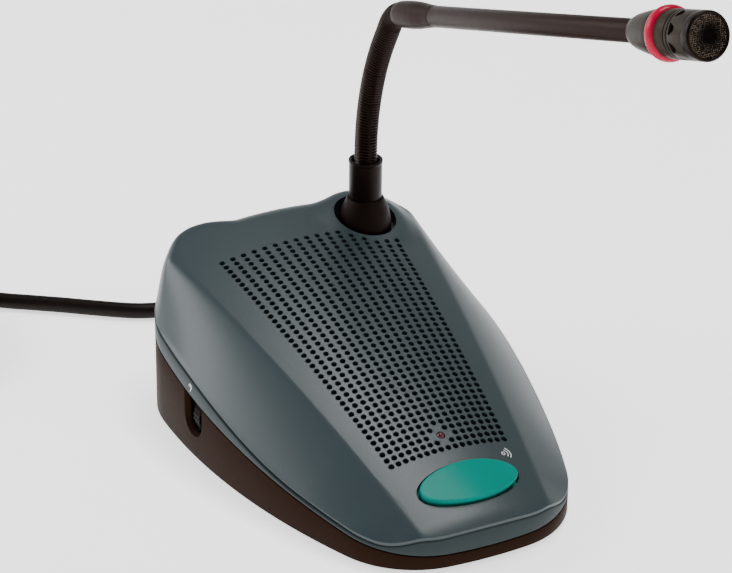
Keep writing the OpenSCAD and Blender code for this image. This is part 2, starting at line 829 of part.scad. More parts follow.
module neck_mound() {
    difference() {
        translate([neck_x, neck_y, mound_top])
            rotate([mound_tilt, mound_roll, 0])
                translate([0, 0, -mound_h])
                    cylinder(d1 = mound_d + 2, d2 = mound_d - 4, h = mound_h);
        translate([neck_x, neck_y, well_h - cup_floor - tall])
            cylinder(d = 2 * mound_d, h = tall);
    }
}

module top_bosses() {
    for (p = case_screw_at)
        both_sides(p)
            cylinder(d = boss_d, h = tall);
    on_deck(speaker_y)
        translate([0, 0, -seat_depth])
            tube(speaker_d, speaker_d - 2 * speaker_wall - 2, tall);
    on_deck(speaker_y)
        speaker_screw_places()
            translate([0, 0, -seat_depth])
                cylinder(d = 5, h = tall);
    on_deck(key_y)
        for (s = [-1, 1])
            translate([s * key_post_x, 0, guide_top])
                cylinder(d = key_post_d, h = tall);
}

module speaker_screw_places() {
    for (a = [45:90:315])
        rotate(a)
            translate([speaker_screw_r, 0, 0])
                children();
}

screw_bite = 3;
module top_holes() {
    for (p = case_screw_at)
        both_sides(p)
            cylinder(d = boss_hole_d, h = seam_z(p[1]) + reach_above_seam + 0.3);
    on_deck(speaker_y)
        speaker_screw_places()
            translate([0, 0, -seat_depth - 1])
                cylinder(d = small_hole_d, h = screw_bite + 1.2);
    on_deck(key_y) {
        translate([0, 0, -tall / 4])
            linear_extrude(tall / 2)
                polygon(ellipse(key_w, key_l));
        for (s = [-1, 1])
            translate([s * key_post_x, 0, guide_top - 1])
                cylinder(d = small_hole_d, h = screw_bite + 1.2);
    }
    on_deck(light_y)
        translate([0, 0, -tall / 4])
            cylinder(d = light_d + 4 * screw_gap, h = tall / 2);
    translate([neck_x, neck_y, well_h])
        cylinder(d = well_d, h = tall);
    translate([neck_x, neck_y, 0]) {
        cylinder(d = stem_thread_d + 4 * screw_gap, h = tall);
        cylinder(d = washer_d + 4 * screw_gap, h = well_h - cup_floor);
    }
}

neck_keep_out = well_d / 2 + 2.6;
function hole_free(c, r) =
    let (dc = abs(c - (hole_cols - 1) / 2), dr = abs(r - light_row))
    dc + dr > 1;
function hole_xy(c, r) =
    let (y = y_first_row + r * row_pitch)
    [(c - (hole_cols - 1) / 2) * hole_pitch(y), y];

module grille_holes() {
    for (r = [0:hole_rows - 1])
        for (c = [0:hole_cols - 1])
            let (p = hole_xy(c, r))
            if (hole_free(c, r) && norm(p - [neck_x, neck_y]) > neck_keep_out)
                translate([p[0], p[1], deck_z(p[0], p[1]) - 5])
                    rotate(37)
                        cylinder(d = hole_d, h = 10, $fn = 16);
}

function ellipse(w, l) = [for (a = [0:7.5:352.5]) [w / 2 * cos(a), l / 2 * sin(a)]];

module rubber_pad() {
    color(black)
        difference() {
            prism(pad_inset, 0, stand_h + pad_in);
            for (p = case_screw_at)
                both_sides(p)
                    translate([0, 0, -1])
                        cylinder(d = boss_d, h = tall);
        }
}

module case_screws() {
    color(steel)
        for (p = case_screw_at) {
            seat = seam_z(p[1]) - seat_below_seam;
            both_sides(p)
                difference() {
                    union() {
                        translate([0, 0, seat - head_h])
                            cylinder(d = screw_head_d, h = head_h);
                        cylinder_between(screw_d, seat, seam_z(p[1]) + reach_above_seam);
                    }
                    translate([0, 0, seat - head_h - 1])
                        cylinder(d = screw_d, h = 2.2, $fn = 6);
                }
        }
}

module cylinder_between(d, from, to) {
    translate([0, 0, from])
        cylinder(d = d, h = to - from);
}

module ballast_plate() {
    color(steel)
        difference() {
            translate([-ballast_w / 2, ballast_y - ballast_l / 2, floor_top])
                cube([ballast_w, ballast_l, ballast_t]);
            for (s = [-1, 1])
                translate([s * ballast_stud_x, ballast_y, 0])
                    cylinder(d = ballast_stud_d + 4 * screw_gap, h = tall);
        }
}

module ballast_screws() {
    plate_top = floor_top + ballast_t;
    color(steel)
        for (s = [-1, 1])
            translate([s * ballast_stud_x, ballast_y, 0]) {
                cylinder_between(ballast_stud_d + 4, plate_top, plate_top + pan_head_h);
                cylinder_between(small_screw_d, floor_top + 0.5, plate_top);
            }
}

// Electronics

module main_board() {
    color(board_green)
        difference() {
            translate([0, 0, board_h])
                linear_extrude(board_t)
                    polygon([
                        [board_x[0], board_y[0]],
                        [board_x[1], board_y[0]],
                        [board_x[1], board_y[1]],
                        [wheel_x - pot_w / 2, board_y[1]],
                        [wheel_x - pot_w / 2, ear_front],
                        [board_x[0], ear_front]
                    ]);
            for (p = post_at)
                translate([p[0], p[1], 0])
                    cylinder(d = small_hole_d + 0.3, h = tall);
        }
}

module board_screws() {
    top = board_h + board_t;
    color(steel)
        for (p = post_at)
            translate([p[0], p[1], 0]) {
                cylinder_between(pan_head_d, top, top + pan_head_h);
                cylinder_between(small_screw_d, floor_top + 0.5, top);
            }
}

// Amplifier, processor and capacitors, soldered flat on the main board
chip_boxes = [[-30, -20, 14, 14, 2], [-6, -24, 10, 6, 1.6], [16, -8, 8, 12, 2.4]];
can_at = [[-34, 6], [-24, 6], [22, -24]];
can_d = 8;
can_h = 10;
module board_chips() {
    top = board_h + board_t;
    color(black) {
        for (b = chip_boxes)
            translate([b[0], b[1], top])
                cube([b[2], b[3], b[4]]);
        for (p = can_at)
            translate([p[0], p[1], top])
                cylinder(d = can_d, h = p[1] > 0 ? can_h - 4 : can_h);
    }
}

module speaker_cloth() {
    color(black)
        on_deck(speaker_y)
            translate([0, 0, cloth_top - cloth_t])
                difference() {
                    cylinder(d = speaker_d, h = cloth_t);
                    speaker_holes();
                }
}

module speaker_gasket() {
    color(black)
        on_deck(speaker_y)
            translate([0, 0, gasket_top - gasket_t])
                difference() {
                    tube(speaker_d, speaker_bore, gasket_t);
                    speaker_holes();
                }
}

module speaker_holes() {
    speaker_screw_places()
        translate([0, 0, -1])
            cylinder(d = small_hole_d + 0.3, h = 10);
}

basket_end_d = magnet_d - 4;
module speaker_frame() {
    depth = flange_top - flange_t - basket_end;
    color(steel)
        on_deck(speaker_y)
            difference() {
                translate([0, 0, basket_end])
                    rotate_extrude()
                        polygon([
                            [magnet_d / 2 - 8, 0],
                            [basket_end_d / 2 + 4, 0],
                            [speaker_bore / 2 + basket_wall, depth],
                            [speaker_d / 2, depth],
                            [speaker_d / 2, depth + flange_t],
                            [speaker_bore / 2, depth + flange_t],
                            [speaker_bore / 2, depth],
                            [basket_end_d / 2 + 4 - basket_wall, basket_wall],
                            [magnet_d / 2 - 8, basket_wall]
                        ]);
                translate([0, 0, flange_top - flange_t])
                    speaker_holes();
            }
}

cone_gap = 0.3;
dust_cap_r = 9;
module speaker_cone() {
    depth = flange_top - flange_t - basket_end;
    out_r = speaker_bore / 2 - cone_gap;
    color(black)
        on_deck(speaker_y)
            translate([0, 0, basket_end + basket_wall + cone_gap])
                rotate_extrude()
                    polygon([
                        [0, 1.2],
                        [dust_cap_r, 1.2],
                        [out_r - 5, depth - basket_wall - cone_gap],
                        [out_r, depth - basket_wall - cone_gap],
                        [out_r, depth + 0.6 - basket_wall],
                        [out_r - 6, depth + 0.6 - basket_wall],
                        [dust_cap_r, 4.2],
                        [0, 5.4]
                    ]);
}

module speaker_magnet() {
    color([0.2, 0.2, 0.22])
        on_deck(speaker_y)
            translate([0, 0, basket_end - magnet_h])
                tube(magnet_d, 8, magnet_h);
}

module speaker_screws() {
    color(steel)
        on_deck(speaker_y)
            speaker_screw_places() {
                cylinder_between(pan_head_d, flange_top - flange_t - pan_head_h, flange_top - flange_t);
                cylinder_between(small_screw_d, flange_top - flange_t, -seat_depth + screw_bite);
            }
}

// Talk key and its switch

module talk_key() {
    cap_w = key_w - 2 * key_gap;
    cap_l = key_l - 2 * key_gap;
    color(teal)
        on_deck(key_y) {
            intersection() {
                translate([0, 0, lip_top - lip_h / 2])
                    linear_extrude(tall / 2)
                        polygon(ellipse(cap_w, cap_l));
                translate([0, 0, key_proud - key_crown_r])
                    rotate([90, 0, 0])
                        cylinder(r = key_crown_r, h = 2 * key_l, center = true, $fn = 96);
            }
            translate([0, 0, lip_top - lip_h])
                linear_extrude(lip_h)
                    polygon(ellipse(cap_w + 2 * lip_w, cap_l + 2 * lip_w));
            cylinder_between(stem_d, stem_end, lip_top - lip_h / 2);
        }
}

module key_guide() {
    color(umber)
        on_deck(key_y)
            difference() {
                union() {
                    translate([-key_board_half, -guide_l / 2, guide_top - guide_t])
                        cube([2 * key_board_half, guide_l, guide_t]);
                    for (s = [-1, 1])
                        translate([s * key_post_x, 0, 0])
                            cylinder_between(key_post_d, key_board_top, guide_top - guide_t / 2);
                }
                cylinder_between(stem_d + 2 * slide_gap, -tall, 0);
                for (s = [-1, 1])
                    translate([s * key_post_x, 0, 0])
                        cylinder_between(small_hole_d, -tall, 0);
            }
}

key_board_front = 8;
module key_board() {
    color(board_green)
        on_deck(key_y)
            difference() {
                translate([-key_board_half, -key_board_front, key_board_top - board_t])
                    cube([2 * key_board_half, key_board_front + light_dy + 4, board_t]);
                for (s = [-1, 1])
                    translate([s * key_post_x, 0, 0])
                        cylinder_between(small_hole_d + 0.3, -tall, 0);
            }
}

module key_screws() {
    under = key_board_top - board_t;
    color(steel)
        on_deck(key_y)
            for (s = [-1, 1])
                translate([s * key_post_x, 0, 0]) {
                    cylinder_between(pan_head_d, under - pan_head_h, under);
                    cylinder_between(small_screw_d, under, guide_top + screw_bite);
                }
}

module key_switch() {
    color(black)
        on_deck(key_y)
            difference() {
                translate([-switch_w / 2, -switch_w / 2, key_board_top])
                    cube([switch_w, switch_w, switch_h]);
                cylinder_between(plunger_d + 2 * slide_gap, key_board_top + 0.6, 0);
            }
}

module switch_plunger() {
    color(red)
        on_deck(key_y)
            cylinder_between(plunger_d, key_board_top + 0.6 + key_travel + 0.3, stem_end);
}

module status_led() {
    color(red)
        on_deck(key_y)
            translate([0, light_dy, key_board_top])
                cylinder(d = light_d + 0.8, h = led_h);
}

pipe_proud = 0.7;
module light_pipe() {
    top_drop = key_board_top + led_h + 0.3;
    dome_z = light_dz + pipe_proud - light_d / 2;
    color(red)
        on_deck(key_y)
            translate([0, light_dy, 0]) {
                cylinder_between(light_d, top_drop, dome_z);
                translate([0, 0, dome_z])
                    intersection() {
                        sphere(d = light_d);
                        translate([0, 0, -0.2])
                            cylinder(d = 2 * light_d, h = light_d);
                    }
                cylinder_between(light_d + 2.4, top_drop, top_drop + 1.2);
            }
}

// Volume control

module volume_pot() {
    color(black)
        difference() {
            translate([wheel_x - pot_w / 2, pot_y, board_h + board_t])
                cube([pot_w, pot_t, 2 * (wheel_z - board_h - board_t) - 1]);
            translate([wheel_x, pot_y - 1, wheel_z])
                rotate([-90, 0, 0])
                    cylinder(d = shaft_d + 2 * slide_gap, h = pot_t + 2);
        }
}

notch_d = 1.2;
module volume_wheel() {
    color(umber)
        translate([wheel_x, wheel_y, wheel_z])
            rotate([-90, 0, 0]) {
                difference() {
                    cylinder(d = wheel_d, h = wheel_t);
                    for (i = [0:wheel_notches - 1])
                        rotate(i * 360 / wheel_notches)
                            translate([wheel_d / 2 + notch_d / 5, 0, -1])
                                cylinder(d = notch_d, h = wheel_t + 2);
                }
                cylinder_between(shaft_d, wheel_t, wheel_t + pot_gap + pot_t - 0.5);
            }
}

// Neck

module on_neck_axis(z) {
    translate([neck_x, neck_y, z])
        children();
}

boot_gap = 0.1;
module neck_boot() {
    color(black)
        on_neck_axis(well_h)
            rotate_extrude()
                polygon([
                    [sleeve_d / 2 + boot_gap, 0],
                    [boot_d / 2, 0],
                    [boot_d / 2 - 0.3, 2],
                    [boot_d / 2 - 1, boot_h * 0.45],
                    [sleeve_d / 2 + 1.4, boot_h * 0.85],
                    [sleeve_d / 2 + 0.8, boot_h],
                    [sleeve_d / 2 + boot_gap, boot_h]
                ]);
}

thread_len = 11;
rim_h = 3;
sleeve_bore = neck_d + 1;
module neck_sleeve() {
    color(black)
        on_neck_axis(well_h)
            rotate_extrude()
                polygon([
                    [neck_bore / 2, -thread_len],
                    [stem_thread_d / 2, -thread_len],
                    [stem_thread_d / 2, 0],
                    [sleeve_d / 2, 0],
                    [sleeve_d / 2, sleeve_h - rim_h],
                    [sleeve_d / 2 + 0.3, sleeve_h - rim_h + 0.5],
                    [sleeve_d / 2 + 0.3, sleeve_h - 1.2],
                    [sleeve_d / 2 - 0.8, sleeve_h],
                    [sleeve_bore / 2, sleeve_h],
                    [sleeve_bore / 2, sleeve_h - 3],
                    [root_r, sleeve_h - 3],
                    [root_r, sleeve_h + first_joint - link_gap / 2],
                    [neck_bore / 2, sleeve_h + first_joint - link_gap / 2]
                ]);
    color(black)
        neck_ball(first_joint);
}

module neck_washer() {
    color(steel)
        on_neck_axis(well_h - cup_floor - washer_t)
            tube(washer_d, stem_thread_d + 4 * screw_gap, washer_t);
}

module neck_nut() {
    color(steel)
        on_neck_axis(well_h - cup_floor - washer_t - nut_h)
            difference() {
                cylinder(d = nut_d, h = nut_h, $fn = 6);
                translate([0, 0, -1])
                    cylinder(d = stem_thread_d + 2 * screw_gap, h = nut_h + 2);
            }
}

module neck_link_1() {
    neck_link(1);
}

module neck_link_2() {
    neck_link(2);
}

module neck_link_3() {
    neck_link(3);
}

module neck_link_4() {
    neck_link(4);
}

module neck_link_5() {
    neck_link(5);
}

// Boom and microphone head, along one straight axis

seat_len = 6;
seat_gap = 0.05;
boom_bore = boom_d - 2;
ferrule_in = neck_d + 2 * seat_gap;
boom_start = ferrule_len - seat_len;
boom_end = ferrule_len + boom_len;
collar_end = boom_end + collar_len;
ring_end = collar_end + ring_w;
head_end = ring_end + head_len;

module ferrule() {
    color(black)
        on_boom(0)
            rotate_extrude()
                polygon([
                    [ferrule_in / 2, 0],
                    [ferrule_d / 2 - 0.3, 0],
                    [ferrule_d / 2, ferrule_len * 0.25],
                    [ferrule_d / 2, ferrule_len * 0.55],
                    [boom_d / 2 + 0.4, ferrule_len],
                    [boom_d / 2 + seat_gap, ferrule_len],
                    [boom_d / 2 + seat_gap, boom_start],
                    [neck_bore / 2, boom_start],
                    [neck_bore / 2, tail_len + 0.3],
                    [ferrule_in / 2, tail_len + 0.3]
                ]);
}

module boom_tube() {
    color(black)
        on_boom(boom_start)
            tube(boom_d, boom_bore, boom_end + seat_len - boom_start);
}

collar_heel = 2.2;
module head_collar() {
    color(black)
        on_boom(boom_end)
            rotate_extrude()
                polygon([
                    [boom_d / 2 + seat_gap, 0],
                    [boom_d / 2 + 0.4, 0],
                    [head_d / 2 - 2.6, collar_heel],
                    [head_d / 2 - 1.9, collar_len * 0.24],
                    [head_d / 2 - 0.9, collar_len * 0.56],
                    [head_d / 2 - 0.1, collar_len * 0.85],
                    [head_d / 2, collar_len],
                    [neck_bore / 2, collar_len],
                    [neck_bore / 2, seat_len],
                    [boom_d / 2 + seat_gap, seat_len]
                ]);
}

ring_bevel = 0.8;
ring_bore = head_d - 2 * head_wall;
module light_ring() {
    color(red)
        on_boom(collar_end)
            rotate_extrude()
                polygon([
                    [ring_bore / 2, 0],
                    [ring_d / 2 - ring_bevel, 0],
                    [ring_d / 2, ring_bevel],
                    [ring_d / 2, ring_w - ring_bevel],
                    [ring_d / 2 - ring_bevel, ring_w],
                    [ring_bore / 2, ring_w]
                ]);
}

module ring_board() {
    color(board_green)
        on_boom(collar_end)
            tube(ring_bore - 2 * seat_gap, neck_bore, board_t);
}

mesh_t = 1;
mesh_in = 0.8;
slot_from = 9;
slot_len = 2.4;
slot_span = 3;
head_groove_at = [5.4, 7.2];
head_groove_w = 0.6;
head_groove_d = 0.35;
module head_housing() {
    color(black)
        on_boom(ring_end)
            difference() {
                tube(head_d, ring_bore, head_len);
                for (i = [0:head_slots - 1])
                    rotate((i + 0.5) * 360 / head_slots)
                        translate([0, -slot_span / 2, slot_from])
                            cube([head_d, slot_span, slot_len]);
                for (l = head_groove_at)
                    translate([0, 0, l])
                        tube(head_d + 2, head_d - 2 * head_groove_d, head_groove_w);
            }
}

module head_mesh() {
    color(black)
        on_boom(head_end - mesh_in - mesh_t)
            cylinder(d = ring_bore - 2 * seat_gap, h = mesh_t);
}

capsule_d = 9.7;
capsule_h = 6;
seal_h = 7;
module capsule_seal() {
    color(black)
        on_boom(head_end - mesh_in - mesh_t - 0.4 - seal_h)
            difference() {
                cylinder(d = ring_bore - 2 * seat_gap, h = seal_h - 1);
                translate([0, 0, 1])
                    cylinder(d = capsule_d + 2 * seat_gap, h = seal_h);
                translate([0, 0, -1])
                    cylinder(d = neck_bore, h = seal_h);
            }
}

module mic_capsule() {
    color(steel)
        on_boom(head_end - mesh_in - mesh_t - 0.4 - seal_h + 1)
            cylinder(d = capsule_d, h = capsule_h);
}

// Cable and what is on it

module cable_relief() {
    color(black)
        outlet_axis(-outlet_in - relief_flange_t)
            rotate_extrude()
                polygon(concat(
                    [
                        [0, 0],
                        [relief_flange_d / 2, 0],
                        [relief_flange_d / 2, relief_flange_t],
                        [relief_root_d / 2, relief_flange_t],
                        [relief_root_d / 2, relief_flange_t + outlet_in + outlet_out + 1.5]
                    ],
                    [
                        [relief_tip_d / 2, relief_flange_t + outlet_in + relief_len],
                        [0, relief_flange_t + outlet_in + relief_len]
                    ]
                ));
}

module cable_run() {
    color(black)
        swept(concat(cable_route, cable_lead), cable_d, 8);
}

module cable_coil() {
    color(black)
        swept(coil_route, cable_d, 6);
}

tie_a = 200;
tie_slack = 0.4;
module coil_tie() {
    low = coil_z - cable_d / 2 - tie_slack;
    high = coil_z + coil_pitch + cable_d / 2 + tie_slack;
    near = coil_r - coil_pitch * (coil_loops + 0.1) - cable_d / 2 - tie_slack;
    away = coil_r + cable_d / 2 + tie_slack;
    color(black)
        translate([coil_c[0], coil_c[1], 0])
            rotate(tie_a)
                difference() {
                    translate([near - tie_t, -tie_w / 2, low - tie_t])
                        cube([away - near + 2 * tie_t, tie_w, high - low + 2 * tie_t]);
                    translate([near, -tie_w, low])
                        cube([away - near, 2 * tie_w, high - low]);
                }
}

plug_boot_len = 16;
module on_plug(l) {
    translate(coil_route[len(coil_route) - 1])
        rotate([0, 0, heading(coil_out_dir)])
            rotate([0, 90, 0])
                translate([0, 0, l])
                    children();
}

module plug_boot() {
    color(black)
        on_plug(0)
            rotate_extrude()
                polygon([
                    [0, 0],
                    [cable_d / 2 + 0.6, 0],
                    [plug_d / 2 - 2, plug_boot_len],
                    [0, plug_boot_len]
                ]);
}

plug_wall = 1.2;
mouth_len = 9;
grip_rings = 4;
module plug_shell() {
    color(steel)
        on_plug(plug_boot_len)
            difference() {
                cylinder(d = plug_d, h = plug_len);
                translate([0, 0, plug_len - mouth_len])
                    cylinder(d = plug_d - 2 * plug_wall, h = mouth_len + 1);
                for (i = [0:grip_rings - 1])
                    translate([0, 0, 4 + 2.4 * i])
                        tube(plug_d + 2, plug_d - 0.8, 1.2);
            }
}

plug_pins = 5;
pin_circle_d = 7;
pin_d = 1.4;
module plug_insert() {
    color(black)
        on_plug(plug_boot_len + plug_len - mouth_len) {
            cylinder(d = plug_d - 2 * plug_wall - 2 * seat_gap, h = 2);
            for (i = [0:plug_pins - 1])
                rotate(i * 360 / plug_pins)
                    translate([pin_circle_d / 2, 0, 1])
                        cylinder(d = pin_d, h = mouth_len - 3);
        }
}

lower_shell();
top_shell();
rubber_pad();
case_screws();
ballast_plate();
ballast_screws();
main_board();
board_screws();
board_chips();
speaker_cloth();
speaker_gasket();
speaker_frame();
speaker_cone();
speaker_magnet();
speaker_screws();
talk_key();
key_guide();
key_board();
key_screws();
key_switch();
switch_plunger();
status_led();
light_pipe();
volume_pot();
volume_wheel();
neck_boot();
neck_sleeve();
neck_washer();
neck_nut();
neck_link_1();
neck_link_2();
neck_link_3();
neck_link_4();
neck_link_5();
ferrule();
boom_tube();
head_collar();
light_ring();
ring_board();
head_housing();
head_mesh();
capsule_seal();
mic_capsule();
cable_relief();
cable_run();
cable_coil();
coil_tie();
plug_boot();
plug_shell();
plug_insert();
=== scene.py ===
import bmesh
import bpy
import json
from math import asin, atan, atan2, cos, degrees, hypot, pi, radians, sin, sqrt
from mathutils import Euler, Matrix, Vector


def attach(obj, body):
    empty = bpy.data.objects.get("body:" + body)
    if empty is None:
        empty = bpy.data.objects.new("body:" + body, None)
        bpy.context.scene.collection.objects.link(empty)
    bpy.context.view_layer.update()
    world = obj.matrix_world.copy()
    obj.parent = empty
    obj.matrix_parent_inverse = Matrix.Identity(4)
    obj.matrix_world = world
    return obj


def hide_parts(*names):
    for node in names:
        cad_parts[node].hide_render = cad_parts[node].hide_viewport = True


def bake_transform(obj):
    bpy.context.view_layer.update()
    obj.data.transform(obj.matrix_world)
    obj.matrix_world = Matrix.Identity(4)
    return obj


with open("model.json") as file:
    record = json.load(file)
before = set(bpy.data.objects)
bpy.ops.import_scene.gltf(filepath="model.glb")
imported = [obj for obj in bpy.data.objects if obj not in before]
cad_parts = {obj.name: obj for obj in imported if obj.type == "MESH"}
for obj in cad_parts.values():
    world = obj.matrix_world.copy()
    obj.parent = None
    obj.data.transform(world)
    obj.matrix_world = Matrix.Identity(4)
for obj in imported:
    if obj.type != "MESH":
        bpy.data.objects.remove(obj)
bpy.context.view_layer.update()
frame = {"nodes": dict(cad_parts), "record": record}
nodes = frame["nodes"]

# The view: a long lens above the front left corner of the unit, as the photograph was taken,
# over a pale floor. A wide soft box overhead lights the deck, a large one behind on the left
# the flank, a weak one in front the edges. The surround is white low down and dim overhead.
MM = 0.001
camera_at = Vector((-438.07, -827.53, 519.78)) * MM
camera_turn = Euler([radians(a) for a in (64.2389, -0.5448, -27.5372)])
lens_mm = 137.705
bpy.ops.object.select_all(action="DESELECT")
bpy.ops.object.camera_add(location=camera_at, rotation=camera_turn)
bpy.context.scene.camera = bpy.context.object
bpy.context.object.data.lens = lens_mm
bpy.context.object.data.clip_start = 0.05


def soft_box(name, at, aim, size, watts):
    bpy.ops.object.light_add(type="AREA", location=at)
    lamp = bpy.context.object
    lamp.name = name
    lamp.rotation_euler = (Vector(aim) - Vector(at)).to_track_quat("-Z", "Y").to_euler()
    lamp.data.shape = "RECTANGLE"
    lamp.data.size, lamp.data.size_y = size
    lamp.data.energy = watts


soft_box("top_box", (0.3, 0.06, 1.4), (0, 0, 0.05), (0.9, 0.52), 17)
soft_box("left_box", (-0.95, 0.9, 0.75), (0, 0, 0.05), (1.2, 0.8), 17)
soft_box("front_box", (0.7, -1.3, 0.9), (0, 0, 0.08), (0.8, 0.6), 5)
bpy.context.scene.world = bpy.data.worlds.new("surround")
bpy.context.scene.world.use_nodes = True
surround = bpy.context.scene.world.node_tree
way_seen = surround.nodes.new("ShaderNodeTexCoord")
way_up = surround.nodes.new("ShaderNodeSeparateXYZ")
dimming = surround.nodes.new("ShaderNodeMapRange")
for socket, value in (("From Min", 0.05), ("From Max", 0.75), ("To Min", 1.1), ("To Max", 0.08)):
    dimming.inputs[socket].default_value = value
surround.links.new(way_seen.outputs["Generated"], way_up.inputs[0])
surround.links.new(way_up.outputs["Z"], dimming.inputs["Value"])
surround.links.new(dimming.outputs[0], surround.nodes["Background"].inputs["Strength"])
surround.nodes["Background"].inputs["Color"].default_value = (1, 1, 1, 1)


# The floor is a plain pale sheet, with a trace of grain so that it isn't one flat colour. Each
# finish in this file is a Finish, and its node sockets take part in plain arithmetic.
class Wire:
    """A socket of a node, which adds, takes away and multiplies as a number does."""

    def __init__(self, tree, socket):
        self.tree = tree
        self.socket = socket

    def maths(self, operation, *values):
        node = self.tree.nodes.new("ShaderNodeMath")
        node.operation = operation
        for socket, value in zip(node.inputs, values):
            feed(self.tree, socket, value)
        return Wire(self.tree, node.outputs[0])

    def __add__(self, other):
        return self.maths("ADD", self, other)

    def __sub__(self, other):
        return self.maths("SUBTRACT", self, other)

    def __rsub__(self, other):
        return self.maths("SUBTRACT", other, self)

    def __mul__(self, other):
        return self.maths("MULTIPLY", self, other)

    __radd__ = __add__
    __rmul__ = __mul__


def feed(tree, socket, value):
    if isinstance(value, Wire):
        tree.links.new(value.socket, socket)
    else:
        socket.default_value = value


class Finish:
    """A material with one principled shader."""

    def __init__(self, name, colour, roughness, metallic=0.0, **constants):
        self.material = bpy.data.materials.new(name)
        self.material.use_nodes = True
        self.tree = self.material.node_tree
        self.shader = self.tree.nodes["Principled BSDF"]
        self.colour = (*colour, 1)
        self.set("Base Color", self.colour)
        self.set("Roughness", roughness)
        self.set("Metallic", metallic)
        for socket, value in constants.items():
            self.set(socket.replace("_", " "), value)

    def set(self, socket, value):
        feed(self.tree, self.shader.inputs[socket], value)

    def node(self, kind, settings=None, output=0, **inputs):
        made = self.tree.nodes.new("ShaderNode" + kind)
        for name, value in (settings or {}).items():
            setattr(made, name, value)
        for name, value in inputs.items():
            feed(self.tree, made.inputs[name.replace("_", " ")], value)
        return Wire(self.tree, made.outputs[output])

    def place(self):
        return self.node("TexCoord", output="Object")

    def noise(self, scale, detail=3.0):
        return self.node("TexNoise", Vector=self.place(), Scale=scale, Detail=detail)

    def between(self, factor, first, second):
        mix = self.tree.nodes.new("ShaderNodeMix")
        mix.data_type = "RGBA"
        sockets = mix.inputs[0], mix.inputs[6], mix.inputs[7]
        for socket, value in zip(sockets, (factor, first, second)):
            feed(self.tree, socket, value)
        return Wire(self.tree, mix.outputs[2])

    def bump(self, height, metres):
        self.set("Normal", self.node("Bump", Height=height, Distance=metres, Strength=1.0))

    def grain(self, rough, spread, scale, bump_scale=None, metres=0.0):
        """Varies the roughness upwards, and raises a fine grain."""
        self.set("Roughness", rough + spread * self.noise(scale))
        if bump_scale:
            self.bump(self.noise(bump_scale, 2), metres)

    def shades(self, factor, spread):
        """Varies the base colour by a share of itself, up and down, with a factor about 0.5."""
        darker = tuple(c * (1 - spread) for c in self.colour[:3]) + (1,)
        lighter = tuple(min(1, c * (1 + spread)) for c in self.colour[:3]) + (1,)
        self.set("Base Color", self.between(factor, darker, lighter))


floor_paint = Finish("pale_floor", (0.92, 0.92, 0.92), 0.8, Emission_Strength=1.3)
floor_paint.set("Emission Color", (1, 1, 1, 1))
floor_paint.shades(floor_paint.noise(30), 0.02)
bpy.ops.object.select_all(action="DESELECT")
bpy.ops.mesh.primitive_plane_add(size=8)
bpy.context.object.name = "floor"
bpy.context.object.data.materials.append(floor_paint.material)


# The cable: one length of round black jacket. It leaves the strain relief straight, sinks to
# the table, runs out to the left and is wound up in a two-layer coil, tied with a strap.
def wear(piece, finish):
    piece.data.materials.clear()
    piece.data.materials.append(finish.material)


def smoothed(points, steps):
    """Points of a smooth curve through the given ones."""
    line = [2 * points[0] - points[1], *points, 2 * points[-1] - points[-2]]
    made = []
    for a, b, c, d in zip(line, line[1:], line[2:], line[3:]):
        for i in range(steps):
            t = i / steps
            made.append((2 * b + (c - a) * t + (2 * a - 5 * b + 4 * c - d) * t ** 2
                         + (3 * b - a - 3 * c + d) * t ** 3) / 2)
    return made + [points[-1]]


def ramp(t):
    u = min(1, max(0, t))
    return u * u * (3 - 2 * u)


cable_d = 6.6
relief_tip = Vector((20, 110.2, 12))
coil_middle = Vector((-145, 160, 0))
coil_r = 50
coil_loops = 3.25
turn_gap = 0.7
coil_pitch = cable_d + turn_gap
strap_t, strap_play = 0.7, 0.5
coil_low = strap_t + cable_d / 2 + strap_play
coil_start = radians(53.5)
plug_z = 7.9
leave_from = 2 * coil_loops - 0.7
leave_to = leave_from + 0.3
turns = leave_from + 0.65
leave_out, leave_swing, leave_sink = 1.7 * coil_pitch, 0.36, 0.32
climb_from, climb_over = coil_loops - 0.25, 0.5
run_points = [
    relief_tip, (20, 113.2, 12), (19.7, 117.5, 11.4), (17.4, 122.8, 9.9), (13, 128, 8.1),
    (6.6, 131.8, 6.3), (-1, 134.2, 4.9), (-9.5, 135.6, 3.9), (-18, 136.4, 3.5), (-25, 137.3, 3.4),
    (-31, 139, 3.4), (-37, 141.9, 3.4), (-43.5, 146.4, 3.4), (-51.5, 152.5, 3.4), (-61, 159.9, 3.4),
    (-71.5, 167.6, 3.4), (-82, 175.3, 3.4), (-92.6, 184.6, 3.6),
]


def coil_point(t):
    wound = coil_r - coil_pitch * coil_loops + coil_pitch * abs(min(t, leave_from) - coil_loops)
    out = coil_r + leave_out
    radius = wound + (out - wound) * ramp((t - leave_from) / leave_swing)
    height = coil_low + coil_pitch * ramp((t - climb_from) / climb_over)
    height += (plug_z - coil_low - coil_pitch) * ramp((t - leave_to) / leave_sink)
    angle = coil_start + 2 * pi * t
    return coil_middle + Vector((radius * cos(angle), radius * sin(angle), height))


